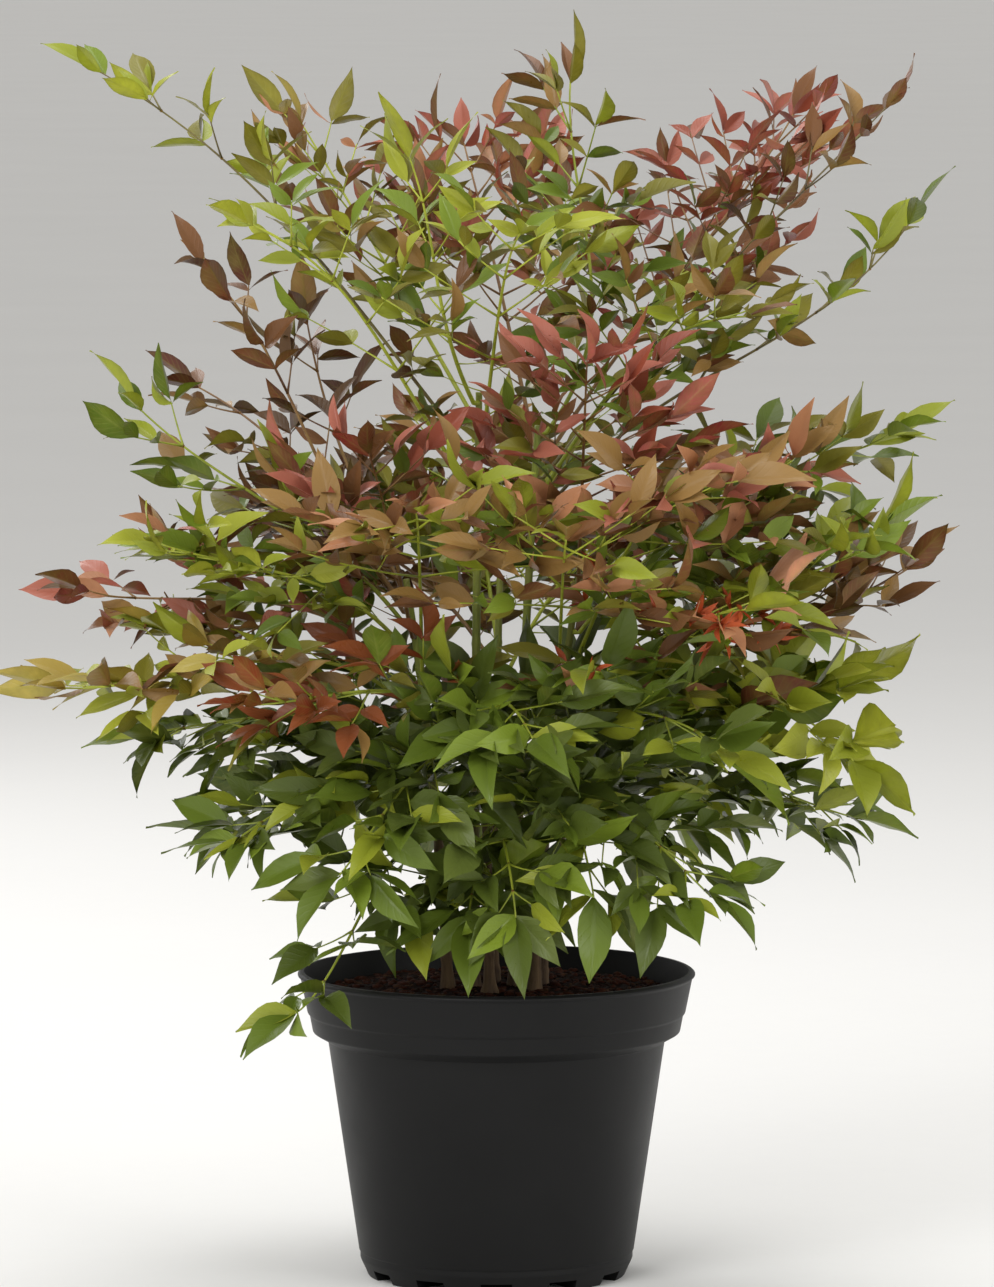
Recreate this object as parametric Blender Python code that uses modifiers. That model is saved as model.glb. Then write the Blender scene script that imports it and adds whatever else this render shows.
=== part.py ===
"""Heavenly bamboo in a black nursery pot.

Canes rise from the potting soil, leaf stalks leave the canes, and each compound leaf
is one mass: a stem with opposite twigs and long pointed leaflets fused on.
Metres, +Z up. The origin is the middle of the pot's flat underside, and -Y is the front.
"""

import math
import random
from collections import namedtuple

import bmesh
import bpy
import numpy as np
from mathutils import Matrix, Vector
from mathutils.bvhtree import BVHTree

# The pot: a tapered body under a wider collar, on a castellated foot
POT_HEIGHT = 0.177
RIM_RADIUS = 0.115
COLLAR_BOTTOM_RADIUS = 0.1075
COLLAR_HEIGHT = 0.035
COLLAR_STEP_DROP = 0.024
COLLAR_STEP = 0.0012
BODY_TOP_RADIUS = 0.0975
BODY_BOTTOM_RADIUS = 0.079
FOOT_RADIUS = 0.0745
FOOT_HEIGHT = 0.010
WALL = 0.0020
FLOOR = 0.0100
LIP = 0.0016
POT_SIDES = 36
DRAIN_SLOTS = 12
SLOT_WIDTH = 0.018
SLOT_HEIGHT = 0.006
SLOT_INNER_RADIUS = 0.052
SMOOTH_ANGLE = math.radians(30)

# The soil fills the pot to just under its rim
SOIL_BELOW_RIM = 0.012
SOIL_CROWN = 0.003
SOIL_FLAT_RADIUS = 0.045
GAP = 0.0003

# Canes, stalks, stems and twigs
CANE_RADIUS = 0.0032
CANE_TIP_RADIUS = 0.0019
FOOT_FLARE = 1.45
FLARE_HEIGHT = 0.016
CANE_POINTS = 9
STALK_RADIUS = 0.0017
STALK_TIP_RADIUS = 0.0012
STALK_SHARE = 0.42
STEM_RADIUS = 0.0015
STEM_TIP_RADIUS = 0.0010
TWIG_RADIUS = 0.0008
ELBOW = 0.003
SPINE_STEPS = 5
RISE = math.radians(52)
FIRST_PULL = 0.42
LAST_PULL = 0.36
END_SHARE = 0.9
SHORT_STEM = 0.15
LONGEST_TWIG = 0.072
SHORTEST_TWIG = 0.024
FIRST_TWIG_STALKED = 0.14
FIRST_TWIG_LOW = 0.30
FIRST_TWIG = 0.38
LOW_START = 0.325
LAST_TWIG = 0.84
TWIG_ANGLE = 54
TWIG_ANGLE_DROP = 10
TWIG_ANGLE_SPREAD = 8
TWIG_SHARE = 0.40
TWIG_SHARE_DROP = 0.24
LOWEST_ROLL, HIGHEST_ROLL = -0.55, 0.60

# Leaflets, fewer and larger than life because each stands for a tuft of them
LEAF_LENGTH = 0.058
LEAF_WIDTH_SHARE = 0.40
LEAF_THICK = 0.0007
SUNK = 0.0004
TRIES = 7
TRY_SHRINK = 0.07
MOST_LEAFLETS = 10
WIDEST_AT = 0.42
BLADE_DROOP = 0.10
BLADE_FOLD = 0.05
SIDE_LEAF = 0.85
STEM_LEAF = 0.90
PAIRED_TWIG = 0.057
STEM_LEAF_PLACES = (0.23, 0.54, 0.76)
LIMB_CLEARANCE = 0.0014
SPACE_MARGIN = 0.0012
RIM_CLEARANCE = 0.004

SOIL_TOP = POT_HEIGHT - SOIL_BELOW_RIM + SOIL_CROWN
UP = Vector((0, 0, 1))

# Each cane: where its foot stands and where its tip ends, measured from the pot's axis
Cane = namedtuple("Cane", "foot tip")
CANES = {
    "tall_left": Cane((-0.013, 0.004), (-0.010, -0.002, 0.512)),
    "tall_right": Cane((0.010, 0.010), (0.024, 0.012, 0.492)),
    "mid_left": Cane((-0.028, -0.004), (-0.052, -0.010, 0.405)),
    "mid_right": Cane((0.022, -0.010), (0.048, -0.024, 0.410)),
    "mid_back": Cane((-0.002, 0.028), (0.002, 0.056, 0.400)),
    "short_front": Cane((-0.004, -0.024), (-0.008, -0.056, 0.330)),
    "short_back": Cane((0.026, 0.016), (0.052, 0.036, 0.310)),
}

# Each compound leaf: the cane and height that it leaves from, the direction, reach and
# height of its tip about the pot's axis, the slope that its tip ends at in degrees, whether
# its bare stalk is a bough of its own, and its colour in this season
Leaf = namedtuple("Leaf", "cane start azimuth reach height nod stalked colour")
LEAVES = {
    "upper_far_left": Leaf("tall_left", 0.478, -175, 0.254, 0.712, 30, True, "lime"),
    "upper_left_front": Leaf("tall_left", 0.455, -146, 0.196, 0.624, 20, False, "lime"),
    "upper_left_back": Leaf("tall_left", 0.498, 141, 0.165, 0.686, 50, False, "bronze"),
    "upper_top_left": Leaf("tall_left", 0.506, -132, 0.090, 0.680, 60, False, "lime"),
    "upper_back": Leaf("tall_right", 0.480, 98, 0.178, 0.668, 45, False, "olive"),
    "upper_spike": Leaf("tall_right", 0.488, 14, 0.046, 0.722, 86, False, "olive"),
    "upper_right_back": Leaf("tall_right", 0.470, 33, 0.224, 0.690, 54, False, "crimson"),
    "upper_far_right": Leaf("tall_right", 0.462, 2, 0.244, 0.696, 46, True, "rust"),
    "upper_low_right": Leaf("tall_right", 0.440, -9, 0.257, 0.638, 55, True, "green"),
    "upper_front": Leaf("tall_left", 0.470, -84, 0.172, 0.618, 15, False, "lime"),
    "upper_right_front": Leaf("tall_right", 0.452, -34, 0.198, 0.562, 2, False, "olive"),
    "mid_left_high": Leaf("mid_left", 0.392, 173, 0.192, 0.606, 45, False, "rust"),
    "mid_left_upright": Leaf("mid_left", 0.398, 148, 0.137, 0.582, 74, False, "rust"),
    "mid_left_rust": Leaf("mid_left", 0.386, 158, 0.216, 0.523, 22, False, "rust"),
    "mid_left_green": Leaf("mid_left", 0.380, -178, 0.230, 0.528, 45, False, "green"),
    "mid_left_lime": Leaf("mid_left", 0.362, -161, 0.232, 0.441, 20, False, "lime"),
    "mid_left_pink": Leaf("mid_left", 0.345, 173, 0.271, 0.397, 7, False, "rust"),
    "mid_left_gold": Leaf("mid_left", 0.325, -173, 0.286, 0.346, 3, False, "gold"),
    "mid_front_red": Leaf("mid_left", 0.372, -121, 0.150, 0.505, 42, False, "crimson"),
    "mid_front_crimson": Leaf("mid_right", 0.402, -71, 0.158, 0.562, 50, False, "crimson"),
    "mid_front_orange": Leaf("mid_left", 0.338, -102, 0.216, 0.464, 12, False, "bronze"),
    "mid_front_rust": Leaf("mid_right", 0.322, -80, 0.226, 0.452, 15, False, "bronze"),
    "mid_front_salmon": Leaf("mid_right", 0.348, -55, 0.216, 0.488, 22, False, "bronze"),
    "mid_right_bronze": Leaf("mid_right", 0.376, -14, 0.213, 0.498, 30, False, "bronze"),
    "mid_right_high": Leaf("mid_right", 0.395, 6, 0.260, 0.496, 20, False, "green"),
    "mid_right_green": Leaf("mid_right", 0.334, -20, 0.262, 0.453, 32, False, "green"),
    "mid_right_far": Leaf("mid_right", 0.322, 10, 0.270, 0.424, 32, False, "rust"),
    "mid_right_front": Leaf("mid_right", 0.300, -47, 0.236, 0.405, 8, False, "green"),
    "mid_back_left": Leaf("mid_back", 0.352, 135, 0.232, 0.440, 12, False, "rust"),
    "mid_back": Leaf("mid_back", 0.364, 98, 0.236, 0.482, 15, False, "olive"),
    "mid_back_right": Leaf("mid_back", 0.340, 58, 0.236, 0.448, 14, False, "bronze"),
    "low_right_gold": Leaf("short_back", 0.288, -10, 0.230, 0.272, -52, False, "lime"),
    "low_right": Leaf("short_back", 0.273, 8, 0.240, 0.254, -15, False, "deep"),
    "low_right_front": Leaf("short_front", 0.275, -40, 0.188, 0.212, -40, False, "deep"),
    "low_front": Leaf("short_front", 0.320, -82, 0.208, 0.318, -18, False, "deep"),
    "low_front_left": Leaf("short_front", 0.300, -128, 0.180, 0.222, -40, False, "deep"),
    "low_front_drop": Leaf("short_front", 0.262, -84, 0.136, 0.186, -66, False, "deep"),
    "low_front_right": Leaf("short_front", 0.296, -42, 0.212, 0.298, -32, False, "deep"),
    "low_front_inner": Leaf("mid_right", 0.270, -66, 0.148, 0.200, -58, False, "deep"),
    "low_inner_front": Leaf("short_front", 0.240, -100, 0.112, 0.184, -60, False, "deep"),
    "low_inner_left": Leaf("mid_left", 0.226, -118, 0.106, 0.188, -50, False, "deep"),
    "low_left_red": Leaf("short_front", 0.318, -140, 0.214, 0.344, 0, False, "rust"),
    "low_left": Leaf("mid_left", 0.290, -179, 0.232, 0.311, -8, False, "deep"),
    "low_left_front": Leaf("mid_left", 0.268, -154, 0.194, 0.244, -30, False, "deep"),
    "low_over_rim": Leaf("mid_left", 0.240, -140, 0.180, 0.152, -20, False, "deep"),
    "low_back_left": Leaf("mid_back", 0.290, 148, 0.212, 0.226, -34, False, "deep"),
    "low_back": Leaf("mid_back", 0.270, 102, 0.206, 0.222, -38, False, "deep"),
    "low_back_right": Leaf("short_back", 0.270, 55, 0.210, 0.226, -36, False, "deep"),
}

# Plain colours, as roughness and linear base colour
COLOURS = {
    "pot": (0.45, (0.018, 0.018, 0.020)),
    "soil": (0.95, (0.035, 0.014, 0.010)),
    "cane": (0.60, (0.210, 0.190, 0.060)),
    "stalk": (0.45, (0.260, 0.340, 0.060)),
    "lime": (0.42, (0.300, 0.380, 0.060)),
    "olive": (0.42, (0.156, 0.188, 0.045)),
    "green": (0.40, (0.090, 0.188, 0.026)),
    "deep": (0.38, (0.038, 0.080, 0.026)),
    "crimson": (0.42, (0.305, 0.045, 0.038)),
    "rust": (0.42, (0.171, 0.053, 0.032)),
    "bronze": (0.42, (0.376, 0.141, 0.070)),
    "gold": (0.42, (0.402, 0.305, 0.061)),
}


def clear_scene():
    for thing in list(bpy.data.objects):
        bpy.data.objects.remove(thing)


def material(name):
    found = bpy.data.materials.get(name)
    if found:
        return found
    roughness, colour = COLOURS[name]
    made = bpy.data.materials.new(name)
    made.use_nodes = True
    shader = made.node_tree.nodes["Principled BSDF"]
    shader.inputs["Base Color"].default_value = (*colour, 1)
    shader.inputs["Roughness"].default_value = roughness
    shader.inputs["Metallic"].default_value = 0
    return made


def new_object(name, data, collection, colour=None):
    made = bpy.data.objects.new(name, data)
    collection.objects.link(made)
    if colour:
        made.data.materials.clear()
        made.data.materials.append(material(colour))
    return made


def evaluated_mesh(source):
    bpy.context.view_layer.update()
    graph = bpy.context.evaluated_depsgraph_get()
    return bpy.data.meshes.new_from_object(source.evaluated_get(graph))


def weld(mesh, within=1e-6):
    """Closes a curve's loose caps and sets every face outward."""
    shell = bmesh.new()
    shell.from_mesh(mesh)
    bmesh.ops.remove_doubles(shell, verts=shell.verts, dist=within)
    bmesh.ops.recalc_face_normals(shell, faces=shell.faces)
    shell.to_mesh(mesh)
    shell.free()


def turned(name, profile, collection, colour, closed=False):
    """A body turned about Z from a profile of (radius, height), outer side first, top to bottom."""
    mesh = bpy.data.meshes.new(name)
    points = [(radius, 0, height) for radius, height in profile]
    last = len(points) - 1
    edges = [(i, i + 1) for i in range(last)] + ([(last, 0)] if closed else [])
    mesh.from_pydata(points, edges, [])
    body = new_object(name, mesh, collection, colour)
    screw = body.modifiers.new("turn", "SCREW")
    screw.steps = screw.render_steps = POT_SIDES
    screw.use_merge_vertices = True
    screw.merge_threshold = 0.0001
    screw.use_smooth_shade = False
    return body


def settled(body):
    """Applies a body's modifiers, removes their cutters, and shades its round faces smooth."""
    mesh = evaluated_mesh(body)
    cutters = [cut.object for cut in body.modifiers if cut.type == "BOOLEAN"]
    body.modifiers.clear()
    body.data = mesh
    for cutter in cutters:
        bpy.data.objects.remove(cutter)
    mesh.shade_smooth()
    mesh.set_sharp_from_angle(angle=SMOOTH_ANGLE)
    return body


def pot_outer_radius(height):
    """The body's outer radius at a height below the collar."""
    top = POT_HEIGHT - COLLAR_HEIGHT - (COLLAR_BOTTOM_RADIUS - BODY_TOP_RADIUS) / 2
    share = (height - FOOT_HEIGHT) / (top - FOOT_HEIGHT)
    return BODY_BOTTOM_RADIUS + share * (BODY_TOP_RADIUS - BODY_BOTTOM_RADIUS)


def make_pot(collection, helpers):
    under_collar = POT_HEIGHT - COLLAR_HEIGHT
    neck = under_collar - (COLLAR_BOTTOM_RADIUS - BODY_TOP_RADIUS) / 2
    step_height = POT_HEIGHT - COLLAR_STEP_DROP
    step_radius = RIM_RADIUS - LIP - (RIM_RADIUS - LIP - COLLAR_BOTTOM_RADIUS) * (
        COLLAR_STEP_DROP / COLLAR_HEIGHT
    )
    profile = [
        (RIM_RADIUS - LIP, POT_HEIGHT),
        (RIM_RADIUS, POT_HEIGHT - LIP),
        (RIM_RADIUS - LIP, POT_HEIGHT - 2.5 * LIP),
        (step_radius, step_height),
        (step_radius - COLLAR_STEP, step_height - COLLAR_STEP),
        (COLLAR_BOTTOM_RADIUS - COLLAR_STEP, under_collar),
        (BODY_TOP_RADIUS, neck),
        (BODY_BOTTOM_RADIUS, FOOT_HEIGHT),
        (FOOT_RADIUS, 0),
        (0, 0),
        (0, FLOOR),
        (pot_outer_radius(FLOOR) - WALL, FLOOR),
        (BODY_TOP_RADIUS - WALL, neck),
        (COLLAR_BOTTOM_RADIUS - COLLAR_STEP - WALL, under_collar + WALL),
        (step_radius - COLLAR_STEP - WALL, step_height),
        (RIM_RADIUS - LIP - WALL, POT_HEIGHT),
    ]
    pot = turned("pot", profile, collection, "pot", closed=True)
    slot_length = 2 * (FOOT_RADIUS - SLOT_INNER_RADIUS)
    for number in range(DRAIN_SLOTS):
        angle = math.tau * number / DRAIN_SLOTS
        shape = bpy.data.meshes.new("slot")
        block = bmesh.new()
        bmesh.ops.create_cube(block, size=1)
        bmesh.ops.scale(block, vec=(slot_length, SLOT_WIDTH, 2 * SLOT_HEIGHT), verts=block.verts)
        block.to_mesh(shape)
        block.free()
        slot = new_object(f"slot_{number}", shape, helpers)
        slot.location = Matrix.Rotation(angle, 3, "Z") @ Vector(
            (SLOT_INNER_RADIUS + slot_length / 2, 0, 0)
        )
        slot.rotation_euler.z = angle
        slot.hide_render = True
        slot.display_type = "WIRE"
        cut = pot.modifiers.new(f"slot_{number}", "BOOLEAN")
        cut.operation = "DIFFERENCE"
        cut.object = slot
    return settled(pot)


def make_soil(collection):
    """The root ball, clear of the pot all round, with a low crown where the canes stand."""
    under_collar = POT_HEIGHT - COLLAR_HEIGHT
    neck = under_collar - (COLLAR_BOTTOM_RADIUS - BODY_TOP_RADIUS) / 2
    edge_height = POT_HEIGHT - SOIL_BELOW_RIM - SOIL_CROWN
    collar_radius = COLLAR_BOTTOM_RADIUS - COLLAR_STEP - WALL - 2 * GAP
    profile = [
        (0, SOIL_TOP),
        (SOIL_FLAT_RADIUS, SOIL_TOP),
        (0.72 * collar_radius, SOIL_TOP - 0.4 * SOIL_CROWN),
        (collar_radius, edge_height),
        (collar_radius, under_collar + WALL + GAP),
        (BODY_TOP_RADIUS - WALL - 2 * GAP, neck),
        (pot_outer_radius(FLOOR) - WALL - 2 * GAP, FLOOR + GAP),
        (0, FLOOR + GAP),
    ]
    return settled(turned("potting_soil", profile, collection, "soil"))


def cane_point(name, height):
    """(axis point, radius) of a cane at a height: it leans out a little more towards its tip."""
    cane = CANES[name]
    foot, tip = Vector((*cane.foot, SOIL_TOP + GAP)), Vector(cane.tip)
    share = (height - foot.z) / (tip.z - foot.z)
    sideways = (tip - foot).xy * (0.45 * share + 0.55 * share * share)
    radius = CANE_RADIUS + (CANE_TIP_RADIUS - CANE_RADIUS) * share
    near_foot = max(0.0, 1 - (height - foot.z) / FLARE_HEIGHT)
    radius *= 1 + (FOOT_FLARE - 1) * near_foot * near_foot
    return Vector((*(foot.xy + sideways), height)), radius


def limb(name, points, radii, sides, collection, colour):
    """One tapering limb: a beveled curve with filled caps, made a closed mesh."""
    curve = bpy.data.curves.new(name, "CURVE")
    curve.dimensions = "3D"
    curve.bevel_depth = 1
    curve.bevel_resolution = (sides - 4) // 2
    curve.use_fill_caps = True
    spline = curve.splines.new("POLY")
    spline.points.add(len(points) - 1)
    for place, point, radius in zip(spline.points, points, radii):
        place.co = (*point, 1)
        place.radius = radius
    guide = new_object(name + "_line", curve, collection)
    mesh = evaluated_mesh(guide)
    weld(mesh)
    mesh.shade_smooth()
    mesh.set_sharp_from_angle(angle=2 * SMOOTH_ANGLE)
    bpy.data.objects.remove(guide)
    return new_object(name, mesh, collection, colour)


def make_cane(name, collection):
    foot_height, tip_height = SOIL_TOP + GAP, CANES[name].tip[2]
    shares = [0, 0.02, 0.05] + [i / (CANE_POINTS - 3) for i in range(1, CANE_POINTS - 2)]
    heights = [foot_height + s * (tip_height - foot_height) for s in shares]
    places = [cane_point(name, height) for height in heights]
    # A first point straight above the foot keeps the cut at the soil flat and level
    places[1] = (Vector((*places[0][0].xy, heights[1])), places[1][1])
    return limb(
        "cane_" + name, [p for p, _ in places], [r for _, r in places], 6, collection, "cane"
    )


def spine(leaf):
    """Points from the cane's side to the leaf's tip: out, up, and over to the tip's slope."""
    axis, radius = cane_point(leaf.cane, leaf.start)
    around = math.radians(leaf.azimuth)
    tip = Vector((leaf.reach * math.cos(around), leaf.reach * math.sin(around), leaf.height))
    outward = Vector((tip.x - axis.x, tip.y - axis.y, 0)).normalized()
    rising = (cane_point(leaf.cane, leaf.start + ELBOW)[0] - axis).normalized()
    square = (outward - rising * outward.dot(rising)).normalized()
    root = axis + square * (radius + GAP)
    start = root + square * ELBOW
    nod = math.radians(leaf.nod)
    ending = outward * math.cos(nod) + UP * math.sin(nod)
    # The leaflet at the end of the stem reaches the rest of the way
    tip -= ending * LEAF_LENGTH * END_SHARE
    span = (tip - start).length
    first = start + (outward * math.cos(RISE) + UP * math.sin(RISE)) * span * FIRST_PULL
    last = tip - ending * span * LAST_PULL
    points = [root]
    for step in range(SPINE_STEPS + 1):
        t = step / SPINE_STEPS
        points.append(
            start * (1 - t) ** 3
            + first * 3 * t * (1 - t) ** 2
            + last * 3 * t * t * (1 - t)
            + tip * t**3
        )
    return points


def split(points, share):
    """Cuts a line inside one of its steps, with the gap between the two parts."""
    step = max(1, round(share * (len(points) - 1)))
    before, after = points[step], points[step + 1]
    along = (after - before).normalized()
    middle = (before + after) / 2
    return points[: step + 1] + [middle], [middle + along * GAP] + points[step + 1 :]


def at_share(points, share):
    """(point, direction) at a share of a line's length."""
    lengths = [(b - a).length for a, b in zip(points, points[1:])]
    left = share * sum(lengths)
    for a, b, length in zip(points, points[1:], lengths):
        if left <= length:
            return a.lerp(b, left / length), (b - a).normalized()
        left -= length
    return points[-1].copy(), (points[-1] - points[-2]).normalized()


def taper(first, last, count):
    return [first + (last - first) * i / (count - 1) for i in range(count)]


def side_twigs(leaf, stem, chance):
    """The opposite pairs of side twigs, longest near the stem's foot, as (root, end) pairs."""
    length = sum((b - a).length for a, b in zip(stem, stem[1:]))
    pairs = 2 if length < SHORT_STEM else 3
    first = FIRST_TWIG_LOW if leaf.start < LOW_START else FIRST_TWIG
    first = FIRST_TWIG_STALKED if leaf.stalked else first
    found = []
    for pair in range(pairs):
        share = first + (LAST_TWIG - first) * pair / (pairs - 0.3)
        root, along = at_share(stem, share)
        across = level_across(along, leaf)
        lift = across.cross(along)
        for side in (-1, 1):
            degrees = TWIG_ANGLE - TWIG_ANGLE_DROP * pair / pairs
            angle = math.radians(degrees + chance.uniform(-TWIG_ANGLE_SPREAD, TWIG_ANGLE_SPREAD))
            reach = length * (TWIG_SHARE - TWIG_SHARE_DROP * pair / pairs)
            reach = min(LONGEST_TWIG, max(SHORTEST_TWIG, reach * chance.uniform(0.85, 1.15)))
            roll = chance.uniform(LOWEST_ROLL, HIGHEST_ROLL)
            sideways = (across * side + lift * roll).normalized()
            way = along * math.cos(angle) + sideways * math.sin(angle)
            found.append((root, root + way * reach))
    return found


def level_across(along, leaf):
    """The level direction across a line, or across the leaf's own azimuth where the line is steep."""
    across = along.cross(UP)
    if across.length > 0.35:
        return across.normalized()
    side = math.radians(leaf.azimuth - 90)
    return Vector((math.cos(side), math.sin(side), 0))


def leaf_shape():
    """A leaflet as an octahedron. Its corners are drawn out into a blade by blade_corners."""
    blade = bmesh.new()
    bmesh.ops.create_uvsphere(blade, u_segments=4, v_segments=2, radius=1)
    mesh = bpy.data.meshes.new("leaf_shape")
    bmesh.ops.recalc_face_normals(blade, faces=blade.faces)
    blade.to_mesh(mesh)
    blade.free()
    return mesh


def blade_corners(shape, root, way, normal, length):
    """The octahedron's corners in place: tip and root, the two widest points, rib and keel."""
    across = normal.cross(way)
    if across.length < 0.3:
        across = way.orthogonal()
    across.normalize()
    over = way.cross(across)
    half, wing = LEAF_THICK / 2, across * length * LEAF_WIDTH_SHARE / 2
    widest, fold = root + way * WIDEST_AT * length, over * BLADE_FOLD * length
    places = {
        (1, 0, 0): root + way * length - over * BLADE_DROOP * length,
        (-1, 0, 0): root + over * half,
        (0, 1, 0): widest + wing + fold,
        (0, -1, 0): widest - wing + fold,
        (0, 0, 1): widest + over * half,
        (0, 0, -1): root - over * half,
    }
    return [places[tuple(round(c) for c in vert.co)] for vert in shape.vertices]


def leaf_buds(twigs, stem, leaf, chance):
    """(root, direction, share of the full length) of each leaflet, the end ones first."""
    buds = []
    for root, end in [(stem[-2], stem[-1]), *twigs]:
        along = (end - root).normalized()
        buds.append((end - along * SUNK, along, 1.0))
    end, before = stem[-1], stem[-2]
    along = (end - before).normalized()
    across = level_across(along, leaf)
    for side, back in ((-1, 0.006), (1, 0.010)):
        buds.append((end - along * back, along * 0.7 + across * side * 0.75, SIDE_LEAF))
    for root, end in twigs:
        along = (end - root).normalized()
        across = level_across(along, leaf)
        side = chance.choice((-1, 1))
        reach = (end - root).length
        near_end = root.lerp(end, 1 - 0.008 / reach)
        buds.append((near_end, along * 0.6 + across * side * 0.8, SIDE_LEAF))
        if reach > PAIRED_TWIG:
            buds.append((root.lerp(end, 0.55), along * 0.6 - across * side * 0.8, SIDE_LEAF))
    for number, share in enumerate(STEM_LEAF_PLACES):
        root, along = at_share(stem, share)
        side = level_across(along, leaf) * (-1, 1)[number % 2]
        buds.append((root, along * 0.5 + side * 0.5 + UP * 0.6, STEM_LEAF))
    return buds


def blade_places(shape, corners):
    """Places all over a leaflet: its corners and the middles of its edges."""
    return corners + [(corners[a] + corners[b]) / 2 for a, b in (edge.vertices for edge in shape.edges)]


def line_samples(points, spacing=0.003):
    """Points along a line, near enough together to stand for it."""
    found = []
    for a, b in zip(points, points[1:]):
        count = max(1, math.ceil((b - a).length / spacing))
        found += [tuple(a.lerp(b, i / count)) for i in range(count)]
    return np.array(found + [tuple(points[-1])])


def nearest(samples, places):
    """The least distance from each place to a line's samples."""
    places = np.array([tuple(p) for p in places])
    return np.sqrt(((places[:, None, :] - samples[None, :, :]) ** 2).sum(2)).min(1)


class Room:
    """What a twig or leaflet keeps clear of: the limbs, the pot, and the space of other leaves."""

    def __init__(self, own, stems, limbs):
        self.own = line_samples(stems[own])
        others = [line_samples(line) for name, line in stems.items() if name != own]
        self.others = np.vstack(others)
        self.limb_places = np.vstack([places for places, _ in limbs])
        self.limb_radii = np.concatenate([radii for _, radii in limbs])

    def keeps(self, places):
        """Whether all these places are nearer to the leaf's own stem, and off the pot."""
        if any(self.in_pot(p) for p in places):
            return False
        own, others = nearest(self.own, places), nearest(self.others, places)
        return bool((own + SPACE_MARGIN < others).all())

    @staticmethod
    def in_pot(place):
        radius, height = math.hypot(place[0], place[1]), place[2]
        if height > POT_HEIGHT + RIM_CLEARANCE:
            return False
        if radius > RIM_RADIUS + RIM_CLEARANCE:
            return False
        over_soil = radius < BODY_TOP_RADIUS and height > SOIL_TOP + RIM_CLEARANCE
        return not over_soil

    def clear(self, tree, middle, size):
        """Whether a shape's surface keeps off every limb near it."""
        reach = np.sqrt(((self.limb_places - np.array(tuple(middle))) ** 2).sum(1))
        for index in np.nonzero(reach < size + 0.01)[0]:
            distance = tree.find_nearest(Vector(self.limb_places[index]))[3]
            if distance < self.limb_radii[index] + LIMB_CLEARANCE:
                return False
        return True


def twig_piece(points, first_radius, last_radius, collection):
    """A three-sided twig: a beveled line whose section is a triangle, welded into a closed mesh."""
    curve = bpy.data.curves.new("twig", "CURVE")
    curve.dimensions = "3D"
    curve.bevel_mode = "OBJECT"
    curve.bevel_object = bpy.data.objects["twig_section"]
    curve.use_fill_caps = True
    spline = curve.splines.new("POLY")
    spline.points.add(len(points) - 1)
    radii = taper(first_radius, last_radius, len(points))
    for place, point, radius in zip(spline.points, points, radii):
        place.co = (*point, 1)
        place.radius = radius
    guide = new_object("twig_line", curve, collection)
    mesh = evaluated_mesh(guide)
    weld(mesh)
    bpy.data.objects.remove(guide)
    return new_object("piece", mesh, collection)


def twig_section(collection):
    """The triangle of unit radius that every twig is drawn with."""
    curve = bpy.data.curves.new("twig_section", "CURVE")
    curve.dimensions = "2D"
    spline = curve.splines.new("POLY")
    spline.points.add(2)
    for number, place in enumerate(spline.points):
        angle = math.tau * number / 3 + math.pi / 2
        place.co = (math.cos(angle), math.sin(angle), 0, 1)
    spline.use_cyclic_u = True
    section = new_object("twig_section", curve, collection)
    section.hide_render = True
    return section


def leaf_piece(shape, corners, collection):
    mesh = shape.copy()
    for vert, corner in zip(mesh.vertices, corners):
        vert.co = corner
    return new_object("piece", mesh, collection)


def biggest_body(mesh):
    """Keeps only the largest shell, so loose scraps and sealed hollows go."""
    shell = bmesh.new()
    shell.from_mesh(mesh)
    bmesh.ops.triangulate(shell, faces=shell.faces)
    left, bodies = set(shell.faces), []
    while left:
        body, front = [], [left.pop()]
        while front:
            face = front.pop()
            body.append(face)
            beside = {other for edge in face.edges for other in edge.link_faces} & left
            left -= beside
            front += beside
        bodies.append(body)
    bodies.sort(key=len)
    scraps = [face for body in bodies[:-1] for face in body]
    bmesh.ops.delete(shell, geom=scraps, context="FACES")
    shell.to_mesh(mesh)
    shell.free()


def fuse(name, pieces, helpers, collection, colour):
    """Joins a leaf's stem, twigs and leaflets into one closed body."""
    group = bpy.data.collections.new(name + "_pieces")
    for piece in pieces[1:]:
        group.objects.link(piece)
    join = pieces[0].modifiers.new("join", "BOOLEAN")
    join.operation = "UNION"
    join.operand_type = "COLLECTION"
    join.collection = group
    join.solver = "MANIFOLD"
    mesh = evaluated_mesh(pieces[0])
    biggest_body(mesh)
    for piece in pieces:
        bpy.data.objects.remove(piece)
    bpy.data.collections.remove(group)
    return new_object(name, mesh, collection, colour)


def line_tree(points):
    """A line as a thin ribbon that distances and crossings can be asked of."""
    edge = [point + UP * 1e-4 for point in points]
    count = len(points)
    strips = [(i, i + 1, count + i + 1, count + i) for i in range(count - 1)]
    return BVHTree.FromPolygons([*points, *edge], strips)


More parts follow.
